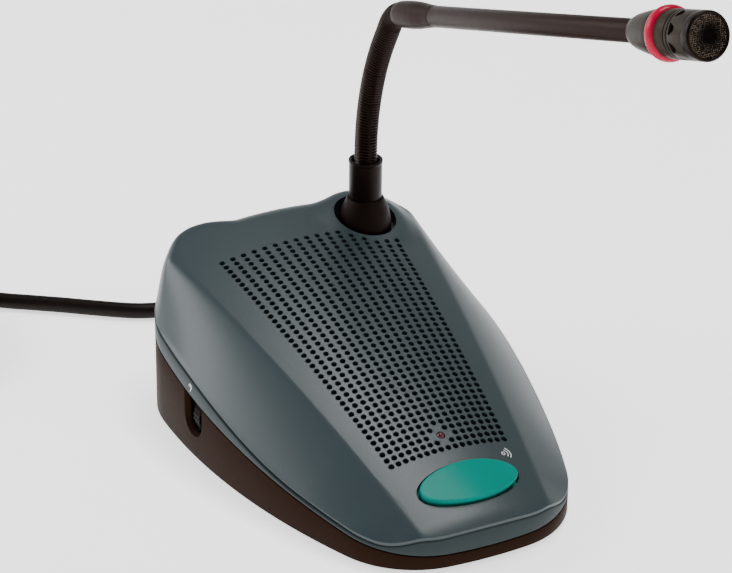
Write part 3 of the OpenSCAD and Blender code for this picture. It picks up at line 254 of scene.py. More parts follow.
coil_steps, run_steps = 468, 5
coil_line = [coil_point(turns * i / coil_steps) for i in range(coil_steps + 1)]
way_in = (coil_line[1] - coil_line[0]).to_2d().to_3d().normalized()
way_out = (coil_line[-1] - coil_line[-2]).to_2d().to_3d().normalized()
lead_in = [coil_line[0] - 2 * cable_d * way_in, coil_line[0] - cable_d * way_in]
run_line = smoothed([Vector(p) for p in run_points] + lead_in + [coil_line[0]], run_steps)
cable_line = run_line[:-1] + coil_line + [coil_line[-1] + cable_d * way_out]
cable_curve = bpy.data.curves.new("cable", "CURVE")
cable_curve.dimensions = "3D"
cable_curve.bevel_depth = cable_d / 2 * MM
cable_curve.bevel_resolution = 4
spline = cable_curve.splines.new("POLY")
spline.points.add(len(cable_line) - 1)
for point, place in zip(spline.points, cable_line):
    point.co = (*(place * MM), 1)
cable = bpy.data.objects.new("cable", cable_curve)
bpy.context.scene.collection.objects.link(cable)
jacket = Finish("cable_jacket", (0.0055, 0.0026, 0.0016), 0.42, Specular_IOR_Level=0.12)
jacket.grain(0.36, 0.14, 400, 1800, 0.00004)
wear(cable, jacket)
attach(cable, "base")
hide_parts("cable_run", "cable_coil")
cable_length = sum((b - a).length for a, b in zip(cable_line, cable_line[1:])) * MM


# The lower shell: a moulded tub of brown-black plastic, open at the top along a slanting seam.
# Its plan is five arcs a side. The edges are broken, and a round-ended slot shows the wheel.
case_len = 187
y_front, y_rear = -case_len / 2, case_len / 2
half_w = 63.65
widest_y = y_front + 123
seam_front, seam_rear = 6.3, 37.6
stand_h = 1.2
wall = 2.4
radii = {"front": 158, "front_corner": 35, "side": 281, "rear_corner": 46, "rear": 570}


def meeting(c0, r0, c1, r1, side):
    """Where two circles meet."""
    along = (c1 - c0).normalized()
    reach = (r0 * r0 - r1 * r1 + (c1 - c0).length_squared) / (2 * (c1 - c0).length)
    return c0 + reach * along + side * sqrt(r0 * r0 - reach * reach) * Vector((-along.y, along.x))


def heading(v):
    return atan2(v.y, v.x)


front_c = Vector((0, y_front + radii["front"]))
side_c = Vector((half_w - radii["side"], widest_y))
rear_c = Vector((0, y_rear - radii["rear"]))
front_corner_c = meeting(side_c, radii["side"] - radii["front_corner"],
                         front_c, radii["front"] - radii["front_corner"], -1)
rear_corner_c = meeting(side_c, radii["side"] - radii["rear_corner"],
                        rear_c, radii["rear"] - radii["rear_corner"], 1)
front_end, side_start = heading(front_corner_c - front_c), heading(front_corner_c - side_c)
side_end, rear_start = heading(rear_corner_c - side_c), heading(rear_corner_c - rear_c)
arcs = [
    (front_c, radii["front"], -pi / 2, front_end),
    (front_corner_c, radii["front_corner"], front_end, side_start),
    (side_c, radii["side"], side_start, side_end),
    (rear_corner_c, radii["rear_corner"], side_end, rear_start),
    (rear_c, radii["rear"], rear_start, pi / 2),
]


def rim_point(angle, inset=0.0):
    """The point of the right half of the plan where the outward normal has this angle."""
    for middle, radius, _, end in arcs:
        if angle <= end + 1e-9:
            return middle + (radius - inset) * Vector((cos(angle), sin(angle)))
    return Vector((0, y_rear - inset))


def rim_angles(counts):
    """Angles of the normal round the right half, with so many steps on each arc."""
    found = [-pi / 2]
    for (_, _, start, end), count in zip(arcs, counts):
        found += [start + (end - start) * (i + 1) / count for i in range(count)]
    return found


def rim_loop(angles, inset, height):
    """A closed ring of points round the plan, at a height that may follow the place."""
    right = [rim_point(a, inset) for a in angles]
    left = [Vector((-p.x, p.y)) for p in reversed(right[1:-1])]
    return [Vector((p.x, p.y, height(p))) * MM for p in right + left]


def stand_z(y):
    return stand_h


def seam_z(y):
    return seam_front + (seam_rear - seam_front) * (y - y_front) / case_len


def ringed(name, rings, closed=False):
    """A skin over rings of points: a circle is moved to the first and extruded to each next one.

    Its ends are capped, or, where it is closed, the last ring joins the first."""
    bpy.ops.object.select_all(action="DESELECT")
    bpy.ops.mesh.primitive_circle_add(vertices=len(rings[0]), fill_type="NOTHING")
    piece = bpy.context.object
    piece.name = name
    bpy.ops.object.mode_set(mode="EDIT")
    bpy.ops.mesh.select_all(action="SELECT")
    for k, ring in enumerate(rings):
        if k:
            bpy.ops.mesh.extrude_region()
        shape = bmesh.from_edit_mesh(piece.data)
        for vertex, place in zip([v for v in shape.verts if v.select], ring):
            vertex.co = place
        bmesh.update_edit_mesh(piece.data)
    count = len(rings[0])
    ends = [range(count), range(count * (len(rings) - 1), count * len(rings))]
    for pick in [[*ends[0], *ends[1]]] if closed else ends:
        bpy.ops.mesh.select_all(action="DESELECT")
        shape = bmesh.from_edit_mesh(piece.data)
        shape.verts.ensure_lookup_table()
        for i in pick:
            shape.verts[i].select = True
        shape.select_flush(True)
        bmesh.update_edit_mesh(piece.data)
        if closed:
            bpy.ops.mesh.bridge_edge_loops()
        else:
            bpy.ops.mesh.edge_face_add()
    bpy.ops.mesh.select_all(action="SELECT")
    bpy.ops.mesh.normals_make_consistent(inside=False)
    bpy.ops.object.mode_set(mode="OBJECT")
    return piece


def apply_modifier(piece, kind, **settings):
    bpy.ops.object.select_all(action="DESELECT")
    bpy.context.view_layer.objects.active = piece
    piece.select_set(True)
    change = piece.modifiers.new(kind.lower(), kind)
    for name, value in settings.items():
        setattr(change, name, value)
    bpy.ops.object.modifier_apply(modifier=change.name)


def cut(piece, tool):
    """Takes the tool's shape out of the piece."""
    apply_modifier(piece, "BOOLEAN", object=tool, operation="DIFFERENCE", solver="EXACT")
    bpy.data.objects.remove(tool)


def joined(name, first, *others):
    bpy.ops.object.select_all(action="DESELECT")
    for piece in (first, *others):
        piece.select_set(True)
    bpy.context.view_layer.objects.active = first
    bpy.ops.object.join()
    first.name = name
    return first


def smooth(piece, angle=35):
    bpy.ops.object.select_all(action="DESELECT")
    bpy.context.view_layer.objects.active = piece
    piece.select_set(True)
    bpy.ops.object.shade_smooth_by_angle(angle=radians(angle))


def eased(profile, cut_back, most=0.45):
    """A profile whose corners are rounded over a short length."""
    made = [Vector(profile[0])]
    for a, b, c in zip(profile, profile[1:], profile[2:]):
        a, b, c = Vector(a), Vector(b), Vector(c)
        near, far = (b + (end - b).normalized() * min(cut_back, (end - b).length * most)
                     for end in (a, c))
        made += [near, (near + 2 * b + far) / 4, far]
    return made + [Vector(profile[-1])]


def turned(name, profile, place, steps=48, closed=False):
    """A round piece: a profile of radii and heights in mm, turned about the place's own Z."""
    around = [2 * pi * i / steps for i in range(steps)]
    rings = [[place @ (Vector((radius * cos(a), radius * sin(a), height)) * MM) for a in around]
             for radius, height in profile]
    return ringed(name, rings, closed)


shell_angles = rim_angles((10, 26, 40, 30, 10))
lower_profile = [
    (12, stand_z, 0), (0.9, stand_z, 0), (0.3, stand_z, 0.25), (0, stand_z, 0.9),
    (0, seam_z, -0.55), (0.12, seam_z, -0.2), (0.45, seam_z, -0.05), (wall, seam_z, -0.05),
    (wall, stand_z, 3),
]
lower_rings = [rim_loop(shell_angles, inset, lambda p: level(p.y) + lift)
               for inset, level, lift in lower_profile]
lower_shell = ringed("lower_shell_moulding", lower_rings)
slot_w = 12.6
slot_y = 21
slot_low = 11.2
slot_depth = 6
slot_flare, slot_mouth, slot_lead = 0.5, 1.6, 0.9
slot_top = 60
slot_steps = 24
slot_out = -half_w - 1
slot_face = -62.6


def slot_ring(x, grow):
    """The slot's outline: a half round below, straight sides up past the seam."""
    r = slot_w / 2 + grow
    low = [(slot_y + r * cos(a), slot_low + slot_w / 2 + r * sin(a))
           for a in (pi + pi * i / slot_steps for i in range(slot_steps + 1))]
    outline = low + [(slot_y + r, slot_top), (slot_y - r, slot_top)]
    return [Vector((x, y, z)) * MM for y, z in outline]


slot_rings = [
    slot_ring(slot_out, slot_mouth),
    slot_ring(slot_face, slot_flare),
    slot_ring(slot_face + slot_lead, 0),
    slot_ring(slot_out + slot_depth, 0),
]
cut(lower_shell, ringed("slot_cutter", slot_rings))
outlet_at = Vector((20, 93.2, 12))
outlet = Matrix.Translation(outlet_at * MM) @ Matrix.Rotation(-pi / 2, 4, "X")
outlet_profile = [(4.55, -8), (6.5, -8), (6.5, 4.3), (6.3, 4.8), (5.8, 5), (4.8, 5), (4.55, 4.8)]
outlet_boss = turned("outlet_boss", outlet_profile, outlet, closed=True)
lower_shell = joined("lower_shell_moulding", lower_shell, outlet_boss)
smooth(lower_shell)
umber = Finish("umber_moulding", (0.0175, 0.0074, 0.0040), 0.46, Specular_IOR_Level=0.02)
umber.shades(umber.noise(60, 4), 0.08)
umber.grain(0.40, 0.14, 900, 2600, 0.00005)
wear(lower_shell, umber)
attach(lower_shell, "base")
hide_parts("lower_shell")


# The top shell: one slate-grey moulding. A crowned deck with 41 rows of holes rises to the
# rear, with a crease along each side. The flanks fall to a shadow groove and a duller band
# above the seam. A well at the rear right takes the neck, an oval opening the key.
deck_front, deck_mid, deck_rear = 16.7, 52, 74
deck_lift = (deck_rear - deck_front) / case_len
deck_bow = (deck_mid - (deck_rear + deck_front) / 2) / (case_len / 2) ** 2
crown_r = 158
deck_w_front, deck_w_rear = 50.6, 112
deck_share = 0.9
edge_front, edge_gain = 2.5, 4
front_round, front_run = 1.4, 6
crease_front, crease_gain, crease_from, crease_run = 0.1, 0.8, 10, 75
flank_lean, least_lean, full_fall = 0.34, 0.15, 6
band_front, band_rear, band_from, band_run = 3.6, 9.2, -46, 77
nose_half, nose_run = 40, 16
hole_d = 2.3
hole_rows, hole_cols = 41, 17
row_pitch = 2.86
pitch_front, pitch_rear = 2.9, 4.5
first_row = y_front + 32
grille_len = row_pitch * (hole_rows - 1)
light_row = 2
light_y = first_row + light_row * row_pitch
neck_x, neck_y = 29.3, y_rear - 33.2
well_r = 12.3
well_margin = 2.6
well_floor = 61.2
ridge_inset = 0.35
mound_top = 66.8
mound_r = 12.9
mound_fade, mound_power = 11, 1.4
mound_tilt, mound_roll = radians(17), radians(4)
rear_run, rear_full, least_run = 23, 2, 0.3
corner_run, corner_full, corner_mid, corner_rise = 8, 3.2, 0.48, 2.5


def hole_pitch(y):
    return pitch_front + (pitch_rear - pitch_front) * (y - first_row) / grille_len


def crown(y):
    return hole_pitch(0) / (2 * crown_r * hole_pitch(y))


def deck_z(x, y):
    return deck_mid + deck_lift * y - deck_bow * y * y - crown(y) * x * x


def front_drop(y):
    """How far the deck rounds down at the front edge."""
    return front_round * (max(0, y_front + front_run - y) / front_run) ** 2


def deck_half(y):
    return (deck_w_front + (deck_w_rear - deck_w_front) * (y - y_front) / case_len) / 2


def crease_soft(y):
    """Height over which the crease beside the deck is rounded off: crisp in front, soft behind."""
    return crease_front + crease_gain * ramp((y - crease_from) / crease_run)


def half_width(y):
    """Half the width of the plan at the ridge."""
    for middle, radius, _, end in arcs:
        if y <= middle.y + (radius - ridge_inset) * sin(end) + 1e-9:
            across = (radius - ridge_inset) ** 2 - (y - middle.y) ** 2
            return middle.x + sqrt(max(0, across))
    return 0


def ridge_z(x, y):
    band = band_front + (band_rear - band_front) * ramp((y - band_from) / band_run)
    side = seam_z(y) + band
    if y > 0:
        return side
    return side + (deck_z(x, y) - front_drop(y) - side) * ramp((nose_half - x) / nose_run)


def flank_foot(y):
    """Half the width at the flank's foot: the side arc, which runs on past the rear corner."""
    if y < side_c.y:
        return half_width(y)
    return side_c.x + sqrt((radii["side"] - ridge_inset) ** 2 - (y - side_c.y) ** 2)


def rear_roll(x, y):
    """Share of its height over the ridge that the skin keeps: 0 at the rear edge, 1 inside."""
    spot = Vector((abs(x), y))
    run, power = rear_run, rear_full
    away = radii["rear"] - ridge_inset - (spot - rear_c).length
    if heading(spot - rear_c) < rear_start:
        turn = (heading(spot - rear_corner_c) - side_end) / (rear_start - side_end)
        behind = ramp((turn - corner_mid) / (1 - corner_mid))
        run = corner_run * ramp(corner_rise * turn) + (rear_run - corner_run) * behind
        power = corner_full + (rear_full - corner_full) * behind
        away = radii["rear_corner"] - ridge_inset - (spot - rear_corner_c).length
    if run < least_run or away > run:
        return 1
    return 1 - (1 - max(0, away) / run) ** power


def deck_edges(y):
    """Where the deck ends and where the flank begins, across the case."""
    q = min(deck_half(y), deck_share * flank_foot(y))
    return q - edge_front - edge_gain * (y - y_front) / case_len, q


def top_z(x, y):
    """Height of the upper skin: the lower of the deck and the flank, rounded where they meet."""
    x_abs = abs(x)
    w = flank_foot(y)
    q = deck_edges(y)[1]
    deck = deck_z(x_abs, y) - front_drop(y)
    low = ridge_z(w, y)
    fall = deck_z(q, y) - front_drop(y) - low
    part = (x_abs - q) / max(0.01, w - q)
    lean = 2 * crown(y) * q + flank_lean
    first = min(1, max(least_lean, lean * (w - q) / max(0.01, fall)))
    flank = low + fall * (1 - first * part - (1 - first) * max(0, part) ** 2)
    soft = crease_soft(y) * min(1, max(0, fall) / full_fall)
    near = max(0, soft - abs(deck - flank)) / max(1e-6, soft)
    z = min(deck, flank) - near ** 2 * soft / 4
    if fall <= 0:
        z = deck + (low - deck) * ramp((x_abs - q) / max(0.01, w - q))
    z = low + (z - low) * rear_roll(x, y)
    plane = mound_top + (y - neck_y) * sin(mound_tilt) - (x - neck_x) * sin(mound_roll)
    away = hypot(x - neck_x, y - neck_y)
    return z + max(0, plane - z) * (1 - ramp((away - mound_r) / mound_fade)) ** mound_power


cell_cuts = 5
side_steps = (2, 7, 14)
front_steps, rear_steps = 26, 32
front_corner_turn, rear_corner_turn = radians(-50), radians(50)
rim_steps = 11
groove_front, groove_gain, groove_run = 0.5, 0.9, 70
half_cols = hole_cols * cell_cuts / 2
row_start = first_row - row_pitch / 2
row_end = row_start + row_pitch * hole_rows
deck_cols = hole_cols * cell_cuts + 2 * sum(side_steps)
deck_rows = hole_rows * cell_cuts + front_steps + rear_steps


def across_at(y):
    """Distances from the middle at which the right half's columns cross a straight row."""
    e, q = deck_edges(y)
    edge = hole_pitch(y) * hole_cols / 2
    marks = [edge]
    for start, end, count in zip((edge, e, q), (e, q, half_width(y)), side_steps):
        marks += [start + (end - start) * (i + 1) / count for i in range(count)]
    return marks


def column_spot(u, y):
    """The plan place of column u, counted from the middle, on a straight row."""
    side = abs(u)
    if side <= half_cols:
        return u / cell_cuts * hole_pitch(y)
    x = across_at(y)[round(side - half_cols)]
    return x if u > 0 else -x


def end_spot(u, corner, far_y):
    """The plan place of column u where it ends, on the front or rear edge of the case."""
    tip = rim_point(corner, ridge_inset)
    last = deck_cols / 2
    reach = abs(column_spot(abs(u), far_y)) / abs(column_spot(last, far_y))
    x = tip.x * min(1, reach)
    end, bend, meet, sign = (0, 1, front_end, -1) if corner < 0 else (4, 3, rear_start, 1)
    middle, radius = arcs[end][:2]
    bend_c, bend_r = arcs[bend][:2]
    if x > bend_c.x + (bend_r - ridge_inset) * abs(cos(meet)):
        y = bend_c.y + sign * sqrt((bend_r - ridge_inset) ** 2 - (x - bend_c.x) ** 2)
    else:
        y = middle.y + sign * sqrt((radius - ridge_inset) ** 2 - x * x)
    return Vector((x if u >= 0 else -x, y))


def side_spot(t, y, corner):
    """The place on the side edge between a straight row and a corner."""
    start = next(asin((y - middle.y) / (radius - ridge_inset)) for middle, radius, _, end in arcs
                 if y <= middle.y + (radius - ridge_inset) * sin(end) + 1e-9)
    return rim_point(start + (corner - start) * t, ridge_inset)


def end_block_spot(u, t, y, corner):
    """A plan place between the last straight row and the front or rear edge."""
    inner = deck_cols / 2 - side_steps[2]
    side = min(abs(u), inner)
    start = Vector((column_spot(side, y), y))
    spot = start + (end_spot(side, corner, y) - start) * t
    if abs(u) > inner:
        share = (abs(u) - inner) / side_steps[2]
        if t < 1:
            spot = spot + (side_spot(t, y, corner) - spot) * share
        else:
            spot = end_spot(abs(u), corner, y)
    return spot if u >= 0 else Vector((-spot.x, spot.y))


def deck_spot(i, j):
    """The plan place of a point of the skin, by column and row."""
    u = i - deck_cols / 2
    if j < front_steps:
        return end_block_spot(u, 1 - j / front_steps, row_start, front_corner_turn)
    if j > deck_rows - rear_steps:
        return end_block_spot(u, 1 - (deck_rows - j) / rear_steps, row_end, rear_corner_turn)
    y = row_start + (j - front_steps) * row_pitch / cell_cuts
    return Vector((column_spot(u, y), y))


def rim_profile(step, y, ridge, seam):
    """Inset and height of each ring: the ridge, the groove, shallow in front, and the band."""
    deep = groove_front + groove_gain * ramp((y - y_front) / groove_run)
    lip = 0.06 + 0.2 * deep
    return [
        (ridge_inset, ridge), (0.12, ridge - 0.2), (0.06, ridge - 0.5), (lip, ridge - 0.85),
        (deep, ridge - 1.1), (deep, ridge - 1.7), (lip, ridge - 1.95), (0.06, ridge - 2.2),
        (0, ridge - 2.5), (0, seam + 0.75), (0.2, seam + 0.35), (1.6, seam + 0.25),
    ][step]


def outward(x, y):
    """The angle of the outward normal at a place on the ridge's plan, on the right half."""
    for middle, _, _, end in arcs:
        turn = heading(Vector((abs(x), y)) - middle)
        if turn <= end + 1e-4:
            return turn
    return pi / 2


def skin_point(i, j):
    """Place of a grid point: the deck inside, rings of the rim outside it."""
    spot = deck_spot(min(max(i, 0), deck_cols), min(max(j, 0), deck_rows))
    step = max(-i, i - deck_cols, -j, j - deck_rows, 0)
    if not step:
        return Vector((spot.x, spot.y, top_z(spot.x, spot.y)))
    inset, z = rim_profile(step, spot.y, ridge_z(half_width(spot.y), spot.y), seam_z(spot.y))
    turn = outward(spot.x, spot.y)
    moved = Vector((abs(spot.x), spot.y)) + (ridge_inset - inset) * Vector((cos(turn), sin(turn)))
    return Vector((moved.x if spot.x >= 0 else -moved.x, moved.y, z))


grid_cols, grid_rows = deck_cols + 2 * rim_steps, deck_rows + 2 * rim_steps
bpy.ops.object.select_all(action="DESELECT")
bpy.ops.mesh.primitive_grid_add(x_subdivisions=grid_cols, y_subdivisions=grid_rows)
top_shell = bpy.context.object
top_shell.name = "top_shell_moulding"
row_len = grid_cols + 1
for index, vertex in enumerate(top_shell.data.vertices):
    i, j = index % row_len - rim_steps, index // row_len - rim_steps
    vertex.co = skin_point(i, j) * MM


def hole_middle(c, r):
    y = first_row + r * row_pitch
    return (c - (hole_cols - 1) / 2) * hole_pitch(y), y


def hole_open(c, r):
    x, y = hole_middle(c, r)
    beside_light = abs(c - (hole_cols - 1) / 2) + abs(r - light_row) <= 1
    return not beside_light and hypot(x - neck_x, y - neck_y) > well_r + well_margin


def grid_vertex(i, j):
    return (j + rim_steps) * row_len + i + rim_steps


hole_faces = set()
hole_step, hole_phase = 30, 15
edge_cells = (1, cell_cuts - 1)
open_holes = [(c, r) for c in range(hole_cols) for r in range(hole_rows) if hole_open(c, r)]
for c, r in open_holes:
    i0, j0 = sum(side_steps) + c * cell_cuts, front_steps + r * cell_cuts
    middle_x, middle_y = hole_middle(c, r)
    for a in range(1, cell_cuts):
        for b in range(1, cell_cuts):
            if max(a, b) < cell_cuts - 1:
                hole_faces.add((j0 + b + rim_steps) * grid_cols + i0 + a + rim_steps)
            if a in edge_cells or b in edge_cells:
                turn = degrees(atan2(b - cell_cuts / 2, a - cell_cuts / 2)) - hole_phase
                turn = radians(hole_phase + hole_step * round(turn / hole_step))
                x, y = middle_x + hole_d / 2 * cos(turn), middle_y + hole_d / 2 * sin(turn)
                spot = Vector((x, y, top_z(x, y))) * MM
                top_shell.data.vertices[grid_vertex(i0 + a, j0 + b)].co = spot
bpy.ops.object.mode_set(mode="EDIT")
bpy.ops.mesh.select_mode(type="FACE")
bpy.ops.mesh.select_all(action="DESELECT")
bpy.ops.object.mode_set(mode="OBJECT")
for face in top_shell.data.polygons:
    i, j = face.index % grid_cols - rim_steps, face.index // grid_cols - rim_steps
    in_cols, in_rows = 0 <= i < deck_cols, 0 <= j < deck_rows
    face.select = face.index in hole_faces or not (in_cols or in_rows)
inner_grid = [grid_vertex(i, j) for i in range(1, deck_cols) for j in range(1, deck_rows)]
top_shell.vertex_groups.new(name="skin").add(inner_grid, 1.0, "REPLACE")
bpy.ops.object.mode_set(mode="EDIT")
bpy.ops.mesh.delete(type="FACE")
bpy.ops.mesh.select_mode(type="VERT")
bpy.ops.mesh.select_all(action="SELECT")
bpy.ops.mesh.remove_doubles(threshold=0.00001)
bpy.ops.mesh.normals_make_consistent(inside=False)
bpy.ops.object.mode_set(mode="OBJECT")
skin_t = 2.2
apply_modifier(top_shell, "SOLIDIFY", thickness=skin_t * MM, offset=-1,
               vertex_group="skin", thickness_vertex_group=0.1)

key_y = y_front + 16.6
key_tilt = atan(deck_lift - 2 * deck_bow * key_y)
key_at = Vector((0, key_y, deck_z(0, key_y)))
key_place = Matrix.Translation(key_at * MM) @ Matrix.Rotation(key_tilt, 4, "X")
key_w, key_l = 39.8, 17.8


def oval(width, length, height, steps=96):
    around = [2 * pi * i / steps for i in range(steps)]
    spots = [(width / 2 * cos(a), length / 2 * sin(a)) for a in around]
    return [key_place @ (Vector((x, y, height(x, y))) * MM) for x, y in spots]


def oval_plate(name, width, length, low, high):
    return ringed(name, [oval(width, length, lambda x, y: z) for z in (low, high)])


key_shadow = 1.1
key_cutter = oval_plate("key_cutter", key_w + key_shadow, key_l + key_shadow, -9, 9)
neck_foot = Matrix.Translation(Vector((neck_x, neck_y, 0)) * MM)
well_steps = 96
well_cutter = turned("well_cutter", [(well_r, 55), (well_r, 90)], neck_foot, well_steps)
light_place = Matrix.Translation(Vector((0, light_y, 0)) * MM)
light_r = 1.6
light_cutter = turned("light_cutter", [(light_r, 20), (light_r, 50)], light_place, 32)
for tool in (key_cutter, well_cutter, light_cutter):
    cut(top_shell, tool)


def well_ring(radius, height):
    around = [2 * pi * i / well_steps for i in range(well_steps)]
    spots = [(neck_x + radius * cos(a), neck_y + radius * sin(a)) for a in around]
    return [Vector((x, y, height(x, y))) * MM for x, y in spots]


stem_r = 5.2
cup_r = well_r + 1.2
cup_under = well_floor - 2
well_cup = ringed("well_cup", [
    well_ring(stem_r, lambda x, y: cup_under),
    well_ring(stem_r, lambda x, y: well_floor),
    well_ring(well_r, lambda x, y: well_floor),
    well_ring(well_r, lambda x, y: top_z(x, y) - 0.35),
    well_ring(cup_r, lambda x, y: top_z(x, y) - 1),
    well_ring(cup_r, lambda x, y: cup_under),
], closed=True)
top_shell = joined("top_shell_moulding", top_shell, well_cup)
smooth(top_shell, 32)
slate = Finish("slate_moulding", (0.022, 0.036, 0.041), 0.36, Specular_IOR_Level=0.45)
slate.shades(slate.noise(45, 4), 0.06)
slate.grain(0.31, 0.12, 1100, 2400, 0.00004)
wear(top_shell, slate)
band_finish = Finish("slate_band", (0.021, 0.031, 0.033), 0.5, Specular_IOR_Level=0.12)
band_finish.shades(band_finish.noise(45, 4), 0.06)
band_finish.bump(band_finish.noise(2000, 2), 0.00006)
top_shell.data.materials.append(band_finish.material)
band_below = 1.6
for face in top_shell.data.polygons:
    _, y, z = face.center / MM
    if z < ridge_z(half_width(y), y) - band_below:
        face.material_index = 1
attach(top_shell, "base")
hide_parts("top_shell")


# Two small white prints on the top shell: sound waves beside the key, where one speaks, and an
# ear on the band over the volume wheel, where one listens. Each is a few strokes of paint.
paint_t = 0.03
voice_x, voice_y = 20.4, -67.5
ear_y, ear_z = 22.9, 29.6


def stroke(path, width, lay):
    """A line of paint along a path, which lay puts on the shell at a height over it."""
    rings = []
    for k, spot in enumerate(path):
        ahead = path[min(k + 1, len(path) - 1)] - path[max(k - 1, 0)]
        side = Vector((-ahead.y, ahead.x)).normalized() * width / 2
        rings.append([lay(spot + side, -paint_t), lay(spot - side, -paint_t),
                      lay(spot - side, paint_t), lay(spot + side, paint_t)])
    return ringed("stroke", rings)


def bow(middle, radius, start, end, steps=14):
    turns = [radians(start + (end - start) * i / steps) for i in range(steps + 1)]
    return [Vector(middle) + radius * Vector((cos(a), sin(a))) for a in turns]


def on_deck(spot, lift):
    x, y = voice_x + spot.x, voice_y + spot.y
    return Vector((x, y, top_z(x, y) + lift)) * MM


def on_band(spot, lift):
    y, z = ear_y - spot.x, ear_z + spot.y
    x = side_c.x + sqrt((radii["side"] + lift) ** 2 - (y - side_c.y) ** 2)
    return Vector((-x, y, z)) * MM


voice_strokes = [
    stroke(bow((-1.1, -0.3), 0.6, 0, 350), 0.32, on_deck),
    stroke(bow((-0.9, -0.3), 1.6, -55, 65), 0.34, on_deck),
    stroke(bow((-0.7, -0.3), 2.5, -50, 60), 0.34, on_deck),
]
ear_strokes = [
    stroke(bow((0, 0.5), 1.0, -70, 200), 0.4, on_band),
    stroke([Vector((0.3, -0.5)), Vector((0.05, -1.1)), Vector((-0.3, -1.6))], 0.4, on_band),
    stroke(bow((0, 0.5), 0.3, -60, 200), 0.3, on_band),
]
white_paint = Finish("white_paint", (0.72, 0.73, 0.72), 0.5)
white_paint.shades(white_paint.noise(2500), 0.12)
for name, strokes in (("voice_print", voice_strokes), ("ear_print", ear_strokes)):
    printed = joined(name, *strokes)
    wear(printed, white_paint)
    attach(printed, "base")


# The talk key: a satin teal cap with a crowned top and a rolled edge, on the stem and lip of the
# moulding below it, which the deck hides.
key_gap = 0.35
key_proud = 2.1
key_slope = 0.05
key_edge = 0.45
cap_w, cap_l = key_w - 2 * key_gap, key_l - 2 * key_gap


def key_top(x, y):
    return key_proud - crown(key_y) * x * x - key_slope * y


def key_ring(inset, below):
    return oval(cap_w - 2 * inset, cap_l - 2 * inset, lambda x, y: key_top(x, y) - below)


skirt_in = 1.2
skirt_low, skirt_high, brow = -4.2, -0.5, 0.2
key_swell = 0.1
key_rings = [oval(cap_w - skirt_in, cap_l - skirt_in, lambda x, y: z)
             for z in (skirt_low, skirt_high)]
key_rings.append(oval(cap_w, cap_l, lambda x, y: brow))
for turn in (radians(a) for a in range(0, 91, 15)):
    key_rings.append(key_ring(key_edge * (1 - cos(turn)), key_edge * (1 - sin(turn))))
flat_w, flat_l = cap_w - 2 * key_edge, cap_l - 2 * key_edge
for share in (0.93, 0.85, 0.74, 0.6, 0.44, 0.26, 0.08):
    swell = key_swell * (1 - share ** 2)
    key_rings.append(oval(share * flat_w, share * flat_l, lambda x, y: key_top(x, y) + swell))
talk_key = ringed("talk_key_cap", key_rings)
lip_out = 2.4
key_lip = oval_plate("key_lip", cap_w + lip_out, cap_l + lip_out, -5.95, -4.8)
key_stem_r = 3.5
key_stem = turned("key_stem", [(key_stem_r, -10.45), (key_stem_r, -5.9)], key_place)
talk_key = joined("talk_key_cap", talk_key, key_lip, key_stem)
smooth(talk_key)
teal = Finish("teal_moulding", (0.0, 0.22, 0.175), 0.3, Specular_IOR_Level=0.06)
teal.shades(teal.noise(80, 4), 0.06)
teal.grain(0.18, 0.08, 900, 2600, 0.00003)
wear(talk_key, teal)
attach(talk_key, "key")
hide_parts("talk_key")


# The neck's foot: a black rubber boot that flares into the well, and a lacquered metal sleeve
# with a collared rim, from which the gooseneck rises.
neck_rim = well_floor + 29.8
sleeve_r = 6.5
brown_sheen = (1, 0.7, 0.6, 1)


def raised(foot, profile):
    """A profile whose heights count from the given one."""
    return [(radius, foot + height) for radius, height in profile]


boot_profile = raised(well_floor, [
    (6.6, 0.05), (10.4, 0.05), (10.4, 1.2), (10.3, 3.4), (10, 5.8), (9.5, 8), (8.7, 10.2),
    (7.9, 12), (7.4, 13.2), (7.05, 13.7), (6.6, 13.75),
])
boot = turned("boot", boot_profile, neck_foot, 64, closed=True)
smooth(boot, 50)
rubber = Finish("black_rubber", (0.0028, 0.0011, 0.0007), 0.5,
                Specular_IOR_Level=0.09, Specular_Tint=brown_sheen)
rubber.grain(0.44, 0.16, 300, 1500, 0.00005)
wear(boot, rubber)
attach(boot, "base")
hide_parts("neck_boot")

stem_foot = well_floor - 11
sleeve_rim = raised(neck_rim, [
    (sleeve_r, -1.5), (6.7, -1.2), (6.75, -0.4), (6.5, 0), (6.1, 0), (5.5, -0.5), (5.2, -1.4),
    (4.95, -3), (1.2, -3),
])
sleeve_profile = eased([
    (5, stem_foot), (5, well_floor), (sleeve_r, well_floor), *sleeve_rim, (1.2, stem_foot),
], 0.12)
sleeve = turned("sleeve", sleeve_profile, neck_foot, 64, closed=True)
smooth(sleeve, 40)
lacquer = Finish("black_lacquer", (0.0024, 0.0009, 0.0006), 0.33,
                 Specular_IOR_Level=0.1, Specular_Tint=brown_sheen)
lacquer.grain(0.30, 0.12, 700, 2000, 0.00003)
wear(sleeve, lacquer)
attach(sleeve, "base")
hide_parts("neck_sleeve")


# The gooseneck: a wound hose with one helical rib. It is one hose, made in five lengths that
# each run across one joint, from the middle of one link to the middle of the next.
lean_r, lean_a, lean_rise, lean_run = 105, radians(30), 1, 9.8
bend_r, boom_turn = 14.5, radians(90 - 16.4)
hose_r, rib_depth, rib_pitch, rib_shape = 4.55, 0.65, 1.3, 0.6
s1 = lean_rise
s2 = s1 + lean_r * lean_a
s3 = s2 + lean_run
s4 = s3 + bend_r * (boom_turn - lean_a)


def neck_turn(s):
    if s < s1:
        return 0
    if s < s2:
        return (s - s1) / lean_r
    return min(boom_turn, lean_a + max(0, s - s3) / bend_r)


